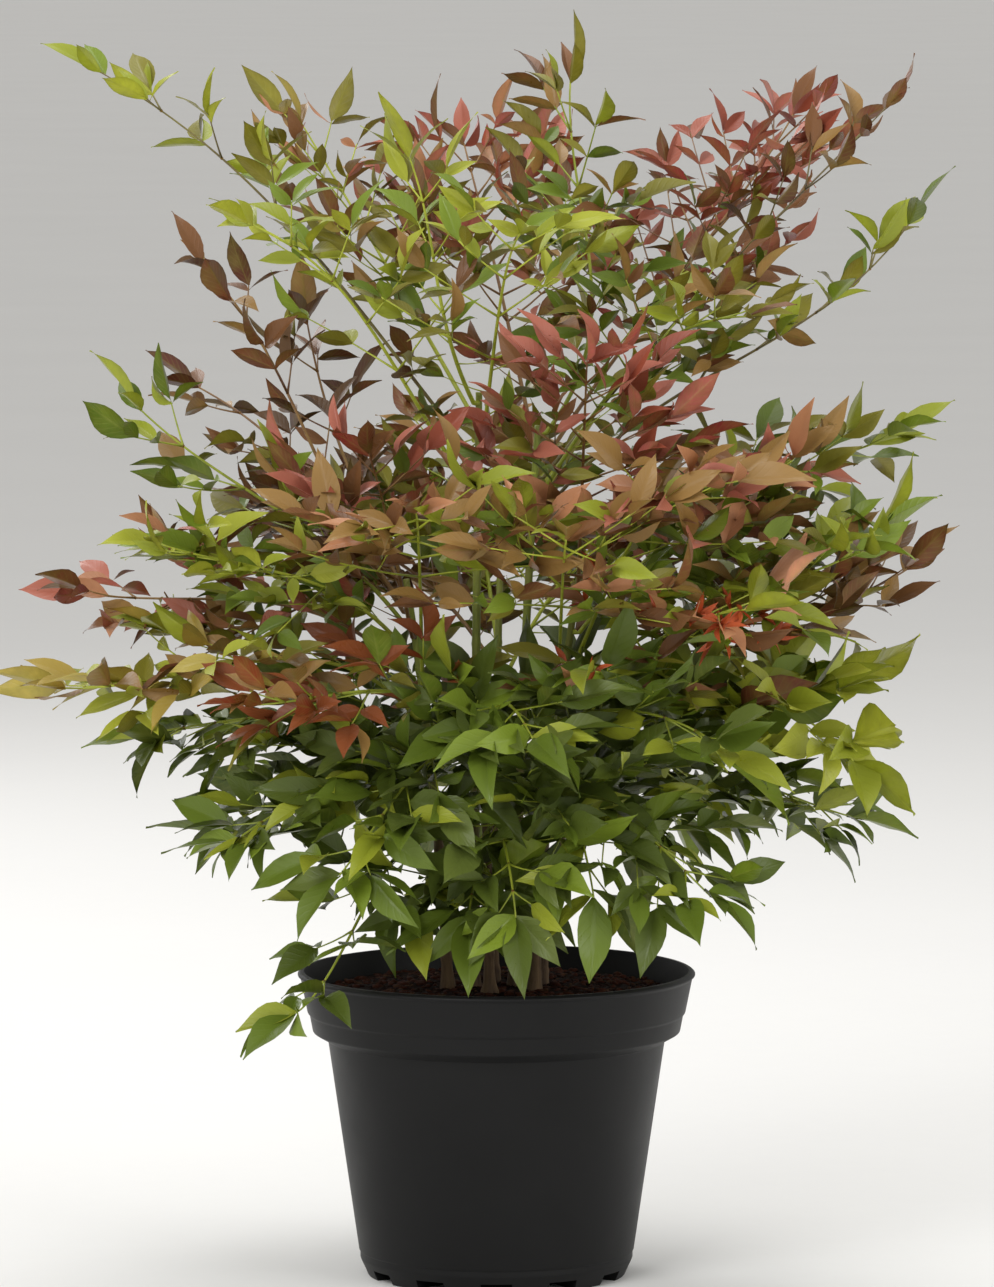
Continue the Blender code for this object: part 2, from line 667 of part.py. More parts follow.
def free_leaf(bud, shape, faces, room, placed, chance):
    """The first try at a leaflet that keeps to its space, or None."""
    root, toward, size = bud
    outward = Vector((root.x, root.y, 0)).normalized()
    for attempt in range(TRIES):
        spread = 0.15 + 0.22 * attempt
        stray = Vector([chance.uniform(-spread, spread) for _ in range(3)])
        way = (toward + stray).normalized()
        normal = UP + outward + Vector([chance.uniform(-0.5, 0.5) for _ in range(3)])
        length = LEAF_LENGTH * size * chance.uniform(0.90, 1.08) * (1 - TRY_SHRINK * attempt)
        corners = blade_corners(shape, root, way, normal, length)
        if not room.keeps(blade_places(shape, corners)):
            continue
        outer = [root.lerp(corner, 0.85) + way * 0.15 * length for corner in corners]
        if any(BVHTree.FromPolygons(outer, faces).overlap(tree) for tree in placed):
            continue
        tree = BVHTree.FromPolygons(corners, faces)
        if room.clear(tree, root + way * length / 2, length / 2):
            placed.append(tree)
            return corners
    return None


def make_mass(name, leaf, stem, room, shape, helpers, collection):
    """One compound leaf: its stem, the twigs and the leaflets that fit, fused."""
    chance = random.Random(name)
    pieces = [twig_piece(stem, STEM_RADIUS, STEM_TIP_RADIUS, helpers)]
    twigs = []
    for root, end in side_twigs(leaf, stem, chance):
        if not room.keeps([root.lerp(end, share) for share in (0.35, 0.6, 0.8, 1)]):
            continue
        if room.clear(line_tree([root, end]), (root + end) / 2, (end - root).length / 2):
            twigs.append((root, end))
            pieces.append(twig_piece([root, end], TWIG_RADIUS, TWIG_RADIUS, helpers))
    faces = [tuple(face.vertices) for face in shape.polygons]
    placed = [line_tree(line) for line in [stem, *twigs]]
    found = 0
    for bud in leaf_buds(twigs, stem, leaf, chance):
        corners = free_leaf(bud, shape, faces, room, placed, chance) if found < MOST_LEAFLETS else None
        if corners:
            pieces.append(leaf_piece(shape, corners, helpers))
            found += 1
    return fuse("leaf_" + name, pieces, helpers, collection, leaf.colour)


def main():
    clear_scene()
    scene = bpy.context.scene.collection
    plant = bpy.data.collections.new("heavenly_bamboo")
    helpers = bpy.data.collections.new("helpers")
    scene.children.link(plant)
    scene.children.link(helpers)
    make_pot(plant, helpers)
    make_soil(plant)
    for name in CANES:
        make_cane(name, plant)
    limbs = []
    for name, cane in CANES.items():
        heights = np.arange(SOIL_TOP, cane.tip[2], 0.003)
        places = [cane_point(name, float(height)) for height in heights]
        limbs.append((np.array([tuple(p) for p, _ in places]), np.array([r for _, r in places])))
    stems = {}
    for name, leaf in LEAVES.items():
        points = spine(leaf)
        if leaf.stalked:
            stalk, points = split(points, STALK_SHARE)
            radii = taper(STALK_RADIUS, STALK_TIP_RADIUS, len(stalk))
            limb("stalk_" + name, stalk, radii, 6, plant, "stalk")
            samples = line_samples(stalk)
            limbs.append((samples, np.full(len(samples), STALK_RADIUS)))
        stems[name] = points
    twig_section(helpers)
    shape = leaf_shape()
    for name, leaf in LEAVES.items():
        make_mass(name, leaf, stems[name], Room(name, stems, limbs), shape, helpers, plant)
    bpy.data.objects.remove(bpy.data.objects["twig_section"])


main()
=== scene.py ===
import math
import random
from collections import namedtuple

import bmesh
import bpy
import numpy as np
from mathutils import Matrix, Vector


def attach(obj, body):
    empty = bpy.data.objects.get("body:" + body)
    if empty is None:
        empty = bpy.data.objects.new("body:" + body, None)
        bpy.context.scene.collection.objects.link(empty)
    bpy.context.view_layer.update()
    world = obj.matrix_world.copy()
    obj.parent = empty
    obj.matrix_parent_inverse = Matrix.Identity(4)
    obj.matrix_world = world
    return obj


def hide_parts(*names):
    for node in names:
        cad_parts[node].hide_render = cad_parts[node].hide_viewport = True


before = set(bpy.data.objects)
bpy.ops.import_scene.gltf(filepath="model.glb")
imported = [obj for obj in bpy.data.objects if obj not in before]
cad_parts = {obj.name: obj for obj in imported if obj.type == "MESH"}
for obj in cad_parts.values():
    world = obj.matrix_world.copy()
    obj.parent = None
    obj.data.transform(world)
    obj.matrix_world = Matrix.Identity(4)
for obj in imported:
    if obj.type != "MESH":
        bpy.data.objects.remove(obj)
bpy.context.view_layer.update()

# The studio
# A pale level floor under the pot, a broad soft light high in front and to the left, and
# weaker ones to the right, above and behind, as for a catalogue picture of a plant.

CAMERA_DISTANCE = 5.0
CAMERA_RISE = math.radians(5.6)
LOOK_AT = Vector((0.0003, 0, 0.3668))
LENS_MM = 242.63
SENSOR_MM = 36
FARTHEST_SEEN = 120
ROOM_COLOUR = (1.0, 0.99, 0.97)
ROOM_STRENGTH = 0.62
FLOOR_COLOUR = (0.80, 0.795, 0.78)
FLOOR_SHADE = 0.985
FLOOR_HALF = 60.0
# Each light's place, the side of its square and its watts
SOFT_LIGHTS = {
    "key": ((-1.5, -2.6, 2.3), 1.8, 62),
    "fill": ((2.3, -2.0, 1.2), 1.6, 26),
    "top": ((0.2, 0.6, 2.9), 1.6, 30),
    "back": ((-1.4, 2.2, 1.6), 1.4, 18),
}

camera_data = bpy.data.cameras.new("camera")
camera_data.lens = LENS_MM
camera_data.sensor_width = SENSOR_MM
camera_data.clip_end = FARTHEST_SEEN
camera = bpy.data.objects.new("camera", camera_data)
bpy.context.scene.collection.objects.link(camera)
toward = Vector((0, -math.cos(CAMERA_RISE), math.sin(CAMERA_RISE)))
camera.location = LOOK_AT + toward * CAMERA_DISTANCE
camera.rotation_euler = (-toward).to_track_quat("-Z", "Y").to_euler()
bpy.context.scene.camera = camera
bpy.context.scene.view_settings.view_transform = "Standard"

for name, (place, size, watts) in SOFT_LIGHTS.items():
    light_data = bpy.data.lights.new(name, "AREA")
    light_data.size = size
    light_data.energy = watts
    light = bpy.data.objects.new(name, light_data)
    light.location = place
    light.rotation_euler = (LOOK_AT - Vector(place)).to_track_quat("-Z", "Y").to_euler()
    bpy.context.scene.collection.objects.link(light)

room = bpy.data.worlds.new("room")
room.use_nodes = True
backdrop = room.node_tree.nodes["Background"]
backdrop.inputs["Color"].default_value = (*ROOM_COLOUR, 1)
backdrop.inputs["Strength"].default_value = ROOM_STRENGTH
bpy.context.scene.world = room


def new_piece(name, mesh, slot=None, replaced=(), smooth=True):
    """A mesh as a piece of the plant, riding on its one body."""
    if smooth:
        mesh.shade_smooth()
    piece = bpy.data.objects.new(name, mesh)
    bpy.context.scene.collection.objects.link(piece)
    if slot:
        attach(piece, "root")
        if replaced:
            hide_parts(*replaced)
    return piece


def new_material(name, gloss=0.5):
    """An empty Principled material: (material, its tree, its shader)."""
    made = bpy.data.materials.new(name)
    made.use_nodes = True
    shader = made.node_tree.nodes["Principled BSDF"]
    shader.inputs["Specular IOR Level"].default_value = gloss
    return made, made.node_tree, shader


def new_group(name, inputs, outputs):
    """An empty shader node group with named sockets: (group, its input, its output)."""
    group = bpy.data.node_groups.new(name, "ShaderNodeTree")
    for socket, kind, value in inputs:
        made = group.interface.new_socket(socket, in_out="INPUT", socket_type="NodeSocket" + kind)
        made.default_value = value
    for socket, kind in outputs:
        group.interface.new_socket(socket, in_out="OUTPUT", socket_type="NodeSocket" + kind)
    return group, group.nodes.new("NodeGroupInput"), group.nodes.new("NodeGroupOutput")


GRAIN_SHARE = 0.35
MOTTLE_RANGE = (0.5, 0.86)
GRAIN_STRENGTH = 0.6


def build_mottle():
    """Two tones laid over each other in soft patches, with a finer grain for the relief."""
    group, given, result = new_group(
        "mottle",
        (("Tone A", "Color", (0.5, 0.5, 0.5, 1)), ("Tone B", "Color", (0.4, 0.4, 0.4, 1)),
         ("Patch scale", "Float", 20.0), ("Grain scale", "Float", 400.0),
         ("Stretch", "Vector", (1, 1, 1))),
        (("Colour", "Color"), ("Mask", "Float"), ("Height", "Float")),
    )
    nodes, links = group.nodes, group.links
    place = nodes.new("ShaderNodeTexCoord")
    stretched = nodes.new("ShaderNodeVectorMath")
    stretched.operation = "MULTIPLY"
    links.new(place.outputs["Object"], stretched.inputs[0])
    links.new(given.outputs["Stretch"], stretched.inputs[1])
    patches, grain = nodes.new("ShaderNodeTexNoise"), nodes.new("ShaderNodeTexNoise")
    patches.inputs["Detail"].default_value = 4
    grain.inputs["Detail"].default_value = 3
    links.new(stretched.outputs[0], patches.inputs["Vector"])
    links.new(stretched.outputs[0], grain.inputs["Vector"])
    links.new(given.outputs["Patch scale"], patches.inputs["Scale"])
    links.new(given.outputs["Grain scale"], grain.inputs["Scale"])
    both = nodes.new("ShaderNodeMath")
    both.operation = "MULTIPLY_ADD"
    both.inputs[1].default_value = GRAIN_SHARE
    links.new(grain.outputs["Fac"], both.inputs[0])
    links.new(patches.outputs["Fac"], both.inputs[2])
    spread = nodes.new("ShaderNodeMapRange")
    spread.inputs["From Min"].default_value, spread.inputs["From Max"].default_value = MOTTLE_RANGE
    links.new(both.outputs[0], spread.inputs["Value"])
    blend = nodes.new("ShaderNodeMix")
    blend.data_type = "RGBA"
    links.new(spread.outputs["Result"], blend.inputs["Factor"])
    links.new(given.outputs["Tone A"], blend.inputs["A"])
    links.new(given.outputs["Tone B"], blend.inputs["B"])
    links.new(blend.outputs["Result"], result.inputs["Colour"])
    links.new(spread.outputs["Result"], result.inputs["Mask"])
    links.new(grain.outputs["Fac"], result.inputs["Height"])
    return group


mottle = build_mottle()


def place_mottle(tree, tone_a, tone_b, patch, grain, stretch=(1, 1, 1)):
    """The mottle group in a material's tree, with that material's own values."""
    tones = tree.nodes.new("ShaderNodeGroup")
    tones.node_tree = mottle
    tones.inputs["Tone A"].default_value = (*tone_a, 1)
    tones.inputs["Tone B"].default_value = (*tone_b, 1)
    tones.inputs["Patch scale"].default_value = patch
    tones.inputs["Grain scale"].default_value = grain
    tones.inputs["Stretch"].default_value = stretch
    return tones


def set_roughness(tree, shader, mask, rough):
    """Roughness that runs between two values as a mask does."""
    worn = tree.nodes.new("ShaderNodeMapRange")
    worn.inputs["To Min"].default_value, worn.inputs["To Max"].default_value = rough
    tree.links.new(mask, worn.inputs["Value"])
    tree.links.new(worn.outputs["Result"], shader.inputs["Roughness"])


def set_relief(tree, shader, height, depth, strength):
    """Fine relief from a height that changes over the surface, its depth in metres."""
    bump = tree.nodes.new("ShaderNodeBump")
    bump.inputs["Distance"].default_value = depth
    bump.inputs["Strength"].default_value = strength
    tree.links.new(height, bump.inputs["Height"])
    tree.links.new(bump.outputs["Normal"], shader.inputs["Normal"])


def mottled_material(name, tone_a, tone_b, patch, grain, rough, relief, gloss=0.5):
    """A Principled material in two mottled tones, with a range of roughness and a fine grain."""
    made, tree, shader = new_material(name, gloss)
    tones = place_mottle(tree, tone_a, tone_b, patch, grain)
    tree.links.new(tones.outputs["Colour"], shader.inputs["Base Color"])
    set_roughness(tree, shader, tones.outputs["Mask"], rough)
    set_relief(tree, shader, tones.outputs["Height"], relief, GRAIN_STRENGTH)
    return made


floor_shape = bmesh.new()
bmesh.ops.create_grid(floor_shape, x_segments=8, y_segments=8, size=FLOOR_HALF)
floor_mesh = bpy.data.meshes.new("floor")
floor_shape.to_mesh(floor_mesh)
floor_shape.free()
floor = new_piece("floor", floor_mesh)
floor_tone = tuple(FLOOR_SHADE * c for c in FLOOR_COLOUR)
floor.data.materials.append(
    mottled_material("floor_paint", FLOOR_COLOUR, floor_tone, patch=3, grain=60,
                     rough=(0.85, 0.95), relief=0.0001)
)

# The nursery pot
# One thin moulding of black polypropylene: a tapered body under a wide drop-down collar
# with a rolled lip, on a foot cut by twelve drain slots, satin outside with a fine grain.

POT_HEIGHT = 0.177
RIM_RADIUS = 0.115
COLLAR_BOTTOM_RADIUS = 0.1075
COLLAR_HEIGHT = 0.035
COLLAR_STEP_DROP = 0.024
COLLAR_STEP = 0.0012
BODY_TOP_RADIUS = 0.0975
BODY_BOTTOM_RADIUS = 0.079
FOOT_RADIUS = 0.0745
FOOT_HEIGHT = 0.010
WALL = 0.0020
POT_FLOOR = 0.0100
LIP = 0.0016
POT_STEPS = 144
DRAIN_SLOTS = 12
SLOT_WIDTH = 0.018
SLOT_HEIGHT = 0.006
SLOT_INNER_RADIUS = 0.052
BASE_RING_HEIGHT = 0.0125
BASE_RING_DEPTH = 0.0004
BASE_RING_WIDTH = 0.0012
BASE_RING_RUN = 0.0020
CORNER_SIZE = 0.0007
CORNER_SHARE = 0.4
SHARP_FROM = math.radians(32)
POT_TONES = ((0.0050, 0.0050, 0.0051), (0.0076, 0.0076, 0.0077))


def softened(corners, size):
    """A profile with each corner but the first and last rounded over by three points."""
    points = [Vector(corners[0])]
    for before, corner, after in zip(corners, corners[1:], corners[2:]):
        before, corner, after = Vector(before), Vector(corner), Vector(after)
        back, on = before - corner, after - corner
        near = min(size, CORNER_SHARE * back.length, CORNER_SHARE * on.length)
        start, end = corner + back.normalized() * near, corner + on.normalized() * near
        points += [start, (start + end) / 4 + corner / 2, end]
    return points + [Vector(corners[-1])]


def turned_body(name, points, steps):
    """A body turned about Z from a closed profile of (radius, height) points."""
    mesh = bpy.data.meshes.new(name)
    count = len(points)
    edges = [(i, (i + 1) % count) for i in range(count)]
    mesh.from_pydata([(point[0], 0, point[1]) for point in points], edges, [])
    body = bpy.data.objects.new(name, mesh)
    bpy.context.scene.collection.objects.link(body)
    screw = body.modifiers.new("turn", "SCREW")
    screw.steps = screw.render_steps = steps
    screw.use_merge_vertices = True
    screw.merge_threshold = 0.00001
    return body


def applied(body):
    """The mesh that a body's modifiers make. The body itself is removed."""
    bpy.context.view_layer.update()
    graph = bpy.context.evaluated_depsgraph_get()
    mesh = bpy.data.meshes.new_from_object(body.evaluated_get(graph))
    bpy.data.objects.remove(body)
    return mesh


under_collar = POT_HEIGHT - COLLAR_HEIGHT
neck = under_collar - (COLLAR_BOTTOM_RADIUS - BODY_TOP_RADIUS) / 2
step_height = POT_HEIGHT - COLLAR_STEP_DROP
collar_top = RIM_RADIUS - LIP
step_radius = collar_top - (collar_top - COLLAR_BOTTOM_RADIUS) * COLLAR_STEP_DROP / COLLAR_HEIGHT
body_slope = (BODY_TOP_RADIUS - BODY_BOTTOM_RADIUS) / (neck - FOOT_HEIGHT)
ring_radius = BODY_BOTTOM_RADIUS + body_slope * (BASE_RING_HEIGHT - FOOT_HEIGHT)
pot_outside = [
    (collar_top - WALL, POT_HEIGHT),
    (collar_top, POT_HEIGHT),
    (RIM_RADIUS, POT_HEIGHT - 0.9 * LIP),
    (RIM_RADIUS, POT_HEIGHT - 1.5 * LIP),
    (collar_top, POT_HEIGHT - 2.4 * LIP),
    (step_radius, step_height),
    (step_radius - COLLAR_STEP, step_height - COLLAR_STEP),
    (COLLAR_BOTTOM_RADIUS - COLLAR_STEP, under_collar),
    (BODY_TOP_RADIUS, neck),
    (ring_radius + body_slope * BASE_RING_RUN, BASE_RING_HEIGHT + BASE_RING_RUN),
    (ring_radius - BASE_RING_DEPTH, BASE_RING_HEIGHT + BASE_RING_WIDTH),
    (ring_radius - BASE_RING_DEPTH, BASE_RING_HEIGHT),
    (BODY_BOTTOM_RADIUS, FOOT_HEIGHT),
    (FOOT_RADIUS, 0),
    (0.0, 0),
]
pot_inside = [
    (0.0, POT_FLOOR),
    (BODY_BOTTOM_RADIUS - WALL, POT_FLOOR),
    (BODY_TOP_RADIUS - WALL, neck),
    (COLLAR_BOTTOM_RADIUS - COLLAR_STEP - WALL, under_collar + WALL),
    (step_radius - COLLAR_STEP - WALL, step_height),
    (collar_top - WALL, POT_HEIGHT),
]
pot_profile = softened(pot_outside, CORNER_SIZE) + softened(pot_inside, CORNER_SIZE)[:-1]
pot_body = turned_body("pot_body", pot_profile, POT_STEPS)
slot_cutters = []
for number in range(DRAIN_SLOTS):
    angle = math.tau * number / DRAIN_SLOTS
    length = 2 * (FOOT_RADIUS - SLOT_INNER_RADIUS)
    slot_shape = bmesh.new()
    bmesh.ops.create_cube(slot_shape, size=1)
    bmesh.ops.scale(slot_shape, vec=(length, SLOT_WIDTH, 2 * SLOT_HEIGHT), verts=slot_shape.verts)
    slot_mesh = bpy.data.meshes.new("drain_slot")
    slot_shape.to_mesh(slot_mesh)
    slot_shape.free()
    cutter = bpy.data.objects.new(f"drain_slot_{number}", slot_mesh)
    bpy.context.scene.collection.objects.link(cutter)
    reach = SLOT_INNER_RADIUS + length / 2
    cutter.location = (reach * math.cos(angle), reach * math.sin(angle), 0)
    cutter.rotation_euler.z = angle
    cut = pot_body.modifiers.new(f"cut_{number}", "BOOLEAN")
    cut.operation = "DIFFERENCE"
    cut.object = cutter
    slot_cutters.append(cutter)
pot_mesh = applied(pot_body)
for cutter in slot_cutters:
    bpy.data.objects.remove(cutter)
pot = new_piece("nursery_pot", pot_mesh, "pot", ["pot"])
pot.data.set_sharp_from_angle(angle=SHARP_FROM)
pot.data.materials.clear()
pot.data.materials.append(
    mottled_material("black_moulding", *POT_TONES, patch=14, grain=1400, rough=(0.44, 0.56),
                     relief=0.00004, gloss=0.20)
)

# The potting soil
# Moist peat and composted bark, dark red-brown and coarse, filled to just under the rim and
# a little higher round the canes: a rough bed with loose crumbs and bark chips lying on it.

SOIL_TOP = POT_HEIGHT - 0.009
SOIL_CROWN = 0.003
SOIL_FLAT_RADIUS = 0.045
SOIL_GAP = 0.0006
SOIL_RADIUS = COLLAR_BOTTOM_RADIUS - COLLAR_STEP - WALL - SOIL_GAP
SOIL_BOTTOM = POT_FLOOR + 0.0003
SOIL_ROUGHNESS = 0.0011
SOIL_SPREAD = 0.6 * SOIL_ROUGHNESS
SOIL_TONES = ((0.0065, 0.0026, 0.0018), (0.0180, 0.0070, 0.0045))
BED_RINGS = 46
BED_SPOKES = 120
BED_SINK = 0.0014
CRUMB_SINK = 0.0016
CRUMB_EDGE = 0.003
CRUMB_BREADTHS = (0.4, 0.8)
CRUMB_DEPTHS = (0.25, 0.5)
CRUMB_KNOBS = (0.7, 1.15)
CRUMB_TIP = 0.35
# Each kind: how many, the least and greatest size, and its two tones
CRUMBS = {
    "peat": (1700, 0.0010, 0.0026, (0.0115, 0.0036, 0.0022), (0.0230, 0.0075, 0.0042)),
    "bark": (620, 0.0018, 0.0044, (0.0330, 0.0095, 0.0052), (0.0560, 0.0180, 0.0095)),
    "fibre": (260, 0.0012, 0.0032, (0.0500, 0.0210, 0.0110), (0.0800, 0.0400, 0.0200)),
}


def soil_height(radius):
    """The soil's surface: flat in the middle and a little lower at the wall."""
    share = min(1.0, max(0.0, (radius - SOIL_FLAT_RADIUS) / (SOIL_RADIUS - SOIL_FLAT_RADIUS)))
    return SOIL_TOP - SOIL_CROWN * share * share


def mesh_from(name, points, faces, uvs=None):
    """A mesh from arrays of points and of faces with equal corner counts, and corner UVs."""
    mesh = bpy.data.meshes.new(name)
    points, faces = np.asarray(points, np.float32), np.asarray(faces, np.int32)
    corners = faces.shape[1]
    mesh.vertices.add(len(points))
    mesh.vertices.foreach_set("co", points.ravel())
    mesh.loops.add(faces.size)
    mesh.loops.foreach_set("vertex_index", faces.ravel())
    mesh.polygons.add(len(faces))
    mesh.polygons.foreach_set("loop_start", np.arange(0, faces.size, corners, dtype=np.int32))
    if uvs is not None:
        layer = mesh.uv_layers.new(name="blade")
        layer.uv.foreach_set("vector", np.asarray(uvs, np.float32)[faces.ravel()].ravel())
    mesh.update()
    mesh.validate()
    return mesh


def ball_arrays():
    """(points, triangles) of a small round ball of radius 1."""
    ball = bmesh.new()
    bmesh.ops.create_icosphere(ball, subdivisions=1, radius=1)
    points = np.array([tuple(vert.co) for vert in ball.verts])
    faces = np.array([[vert.index for vert in face.verts] for face in ball.faces])
    ball.free()
    return points, faces


soil_chance = np.random.default_rng(5)
bed_points, bed_faces = [], []
for ring in range(BED_RINGS):
    radius = SOIL_RADIUS * (ring + 0.5) / (BED_RINGS - 0.5)
    for spoke in range(BED_SPOKES):
        angle = math.tau * (spoke + 0.5 * (ring % 2)) / BED_SPOKES
        rough = 0 if ring == BED_RINGS - 1 else soil_chance.normal(0, SOIL_SPREAD)
        height = soil_height(radius) - BED_SINK + min(SOIL_ROUGHNESS, rough)
        bed_points.append((radius * math.cos(angle), radius * math.sin(angle), height))
# Below its rough top the filling follows the inside of the pot down to the floor
for radius, height in ((SOIL_RADIUS, under_collar + WALL), (BODY_TOP_RADIUS - WALL - SOIL_GAP, neck),
                       (BODY_BOTTOM_RADIUS - WALL - SOIL_GAP, SOIL_BOTTOM)):
    for spoke in range(BED_SPOKES):
        angle = math.tau * (spoke + 0.5 * ((BED_RINGS - 1) % 2)) / BED_SPOKES
        bed_points.append((radius * math.cos(angle), radius * math.sin(angle), height))
for ring in range(BED_RINGS + 2):
    for spoke in range(BED_SPOKES):
        a, b = ring * BED_SPOKES + spoke, ring * BED_SPOKES + (spoke + 1) % BED_SPOKES
        bed_faces.append((a, a + BED_SPOKES, b + BED_SPOKES, b))
bed = bmesh.new()
bed_mesh = mesh_from("soil_bed", bed_points, bed_faces)
bed.from_mesh(bed_mesh)
bmesh.ops.holes_fill(bed, edges=[edge for edge in bed.edges if len(edge.link_faces) == 1])
bmesh.ops.recalc_face_normals(bed, faces=bed.faces)
bed.to_mesh(bed_mesh)
bed.free()
soil_bed = new_piece("soil_bed", bed_mesh, "soil", ["potting_soil"])
soil_bed.data.materials.append(
    mottled_material("moist_peat", *SOIL_TONES, patch=260, grain=900, rough=(0.88, 0.98),
                     relief=0.0006, gloss=0.08)
)

chip_points, chip_faces = ball_arrays()
for name, (count, least, most, tone_a, tone_b) in CRUMBS.items():
    points, faces = [], []
    for number in range(count):
        radius = (SOIL_RADIUS - CRUMB_EDGE) * math.sqrt(soil_chance.uniform(0, 1))
        angle = soil_chance.uniform(0, math.tau)
        size = soil_chance.uniform(least, most)
        breadth, depth = soil_chance.uniform(*CRUMB_BREADTHS), soil_chance.uniform(*CRUMB_DEPTHS)
        shape = size * np.array([1, breadth, depth])
        rough = chip_points * shape * soil_chance.uniform(*CRUMB_KNOBS, (len(chip_points), 1))
        turn, tip = soil_chance.uniform(0, math.tau), soil_chance.normal(0, CRUMB_TIP)
        level = np.array([[math.cos(turn), -math.sin(turn), 0], [math.sin(turn), math.cos(turn), 0],
                          [0, 0, 1]])
        tilted = np.array([[1, 0, 0], [0, math.cos(tip), -math.sin(tip)],
                           [0, math.sin(tip), math.cos(tip)]])
        place = np.array([radius * math.cos(angle), radius * math.sin(angle),
                          soil_height(radius) - CRUMB_SINK + shape[2] / 2])
        points.append(rough @ (level @ tilted).T + place)
        faces.append(chip_faces + number * len(chip_points))
    crumbs = new_piece("soil_" + name, mesh_from(name, np.vstack(points), np.vstack(faces)),
                       "soil", smooth=False)
    crumbs.data.materials.append(
        mottled_material(name + "_chip", tone_a, tone_b, patch=300, grain=1200, rough=(0.84, 0.98),
                         relief=0.0004, gloss=0.12)
    )

# The canes
# Slim upright stems as thick as a pencil at the soil, sheathed in brown fibre from old leaf
# bases low down and green above, with a ring at each old leaf, leaning out to their tips.

GAP = 0.0003
CANE_RADIUS = 0.0032
CANE_TIP_RADIUS = 0.0019
FOOT_FLARE = 1.45
FLARE_HEIGHT = 0.016
EVEN_LEAN = 0.45
# The rings of old leaves: places and lengths along the cane as shares of their spacing, and
# swelling and scar as shares of the radius
NODE_SPACING = 0.021
NODE_SWELL = 0.16
NODE_PLACE = 0.5
NODE_LENGTH = 0.10
SCAR_DEPTH = 0.05
SCAR_PLACE = 0.62
SCAR_LENGTH = 0.03
SHEATH_TOP = 0.27
SHEATH_FADE = 0.05
FIBRE_RELIEF = 0.045
FIBRE_TWIST = 90
CANE_SIDES = 14
CANE_STEP = 0.0022
CANE_SINK = 0.002
END_PINCH = 0.02
FIBRE_TONES = ((0.060, 0.034, 0.018), (0.190, 0.120, 0.060))
GREEN_TONES = ((0.180, 0.225, 0.032), (0.330, 0.385, 0.055))
Cane = namedtuple("Cane", "foot tip")
CANES = {
    "tall_left": Cane((-0.013, 0.004), (-0.010, -0.002, 0.512)),
    "tall_right": Cane((0.010, 0.010), (0.024, 0.012, 0.492)),
    "mid_left": Cane((-0.028, -0.004), (-0.052, -0.010, 0.405)),
    "mid_right": Cane((0.022, -0.010), (0.048, -0.024, 0.410)),
    "mid_back": Cane((-0.002, 0.028), (0.002, 0.056, 0.400)),
    "short_front": Cane((-0.004, -0.024), (-0.008, -0.056, 0.330)),
    "short_back": Cane((0.026, 0.016), (0.052, 0.036, 0.310)),
}


def cane_point(name, height):
    """(axis point, radius) of a cane at a height: it leans out a little more towards its tip."""
    cane = CANES[name]
    foot, tip = Vector((*cane.foot, SOIL_TOP + GAP)), Vector(cane.tip)
    share = (height - foot.z) / (tip.z - foot.z)
    sideways = (tip - foot).xy * (EVEN_LEAN * share + (1 - EVEN_LEAN) * share * share)
    radius = CANE_RADIUS + (CANE_TIP_RADIUS - CANE_RADIUS) * share
    near_foot = max(0.0, 1 - (height - foot.z) / FLARE_HEIGHT)
    radius *= 1 + (FOOT_FLARE - 1) * near_foot * near_foot
    return Vector((*(foot.xy + sideways), height)), radius


def tube_arrays(points, radii, sides, relief=None):
    """(points, quads) of a tube with pinched ends along a line; relief(step, angle) scales it."""
    points = [Vector(point) for point in points]
    along = [(b - a).normalized() for a, b in zip(points, points[1:])]
    along.append(along[-1])
    side = along[0].orthogonal().normalized()
    rings = []
    for step, (point, way, radius) in enumerate(zip(points, along, radii)):
        side = (side - way * side.dot(way)).normalized()
        other = way.cross(side)
        ring = []
        for number in range(sides):
            angle = math.tau * number / sides
            size = radius * (relief(step, angle) if relief else 1)
            ring.append(point + (side * math.cos(angle) + other * math.sin(angle)) * size)
        rings.append(ring)
    rings.insert(0, [points[0].lerp(corner, END_PINCH) for corner in rings[0]])
    rings.append([points[-1].lerp(corner, END_PINCH) for corner in rings[-1]])
    flat = [tuple(corner) for ring in rings for corner in ring]
    quads = []
    for ring in range(len(rings) - 1):
        for number in range(sides):
            a, b = ring * sides + number, ring * sides + (number + 1) % sides
            quads.append((a, b, b + sides, a + sides))
    return flat, quads


def joined_mesh(name, parts):
    """One mesh from many (points, faces) parts."""
    points, faces, offset = [], [], 0
    for part_points, part_faces in parts:
        points.append(np.asarray(part_points))
        faces.append(np.asarray(part_faces) + offset)
        offset += len(part_points)
    return mesh_from(name, np.vstack(points), np.vstack(faces))


cane_material, tree, shader = new_material("cane_skin")
links = tree.links
fibre = place_mottle(tree, *FIBRE_TONES, patch=160, grain=900, stretch=(1, 1, 0.12))
green = place_mottle(tree, *GREEN_TONES, patch=60, grain=700, stretch=(1, 1, 0.3))
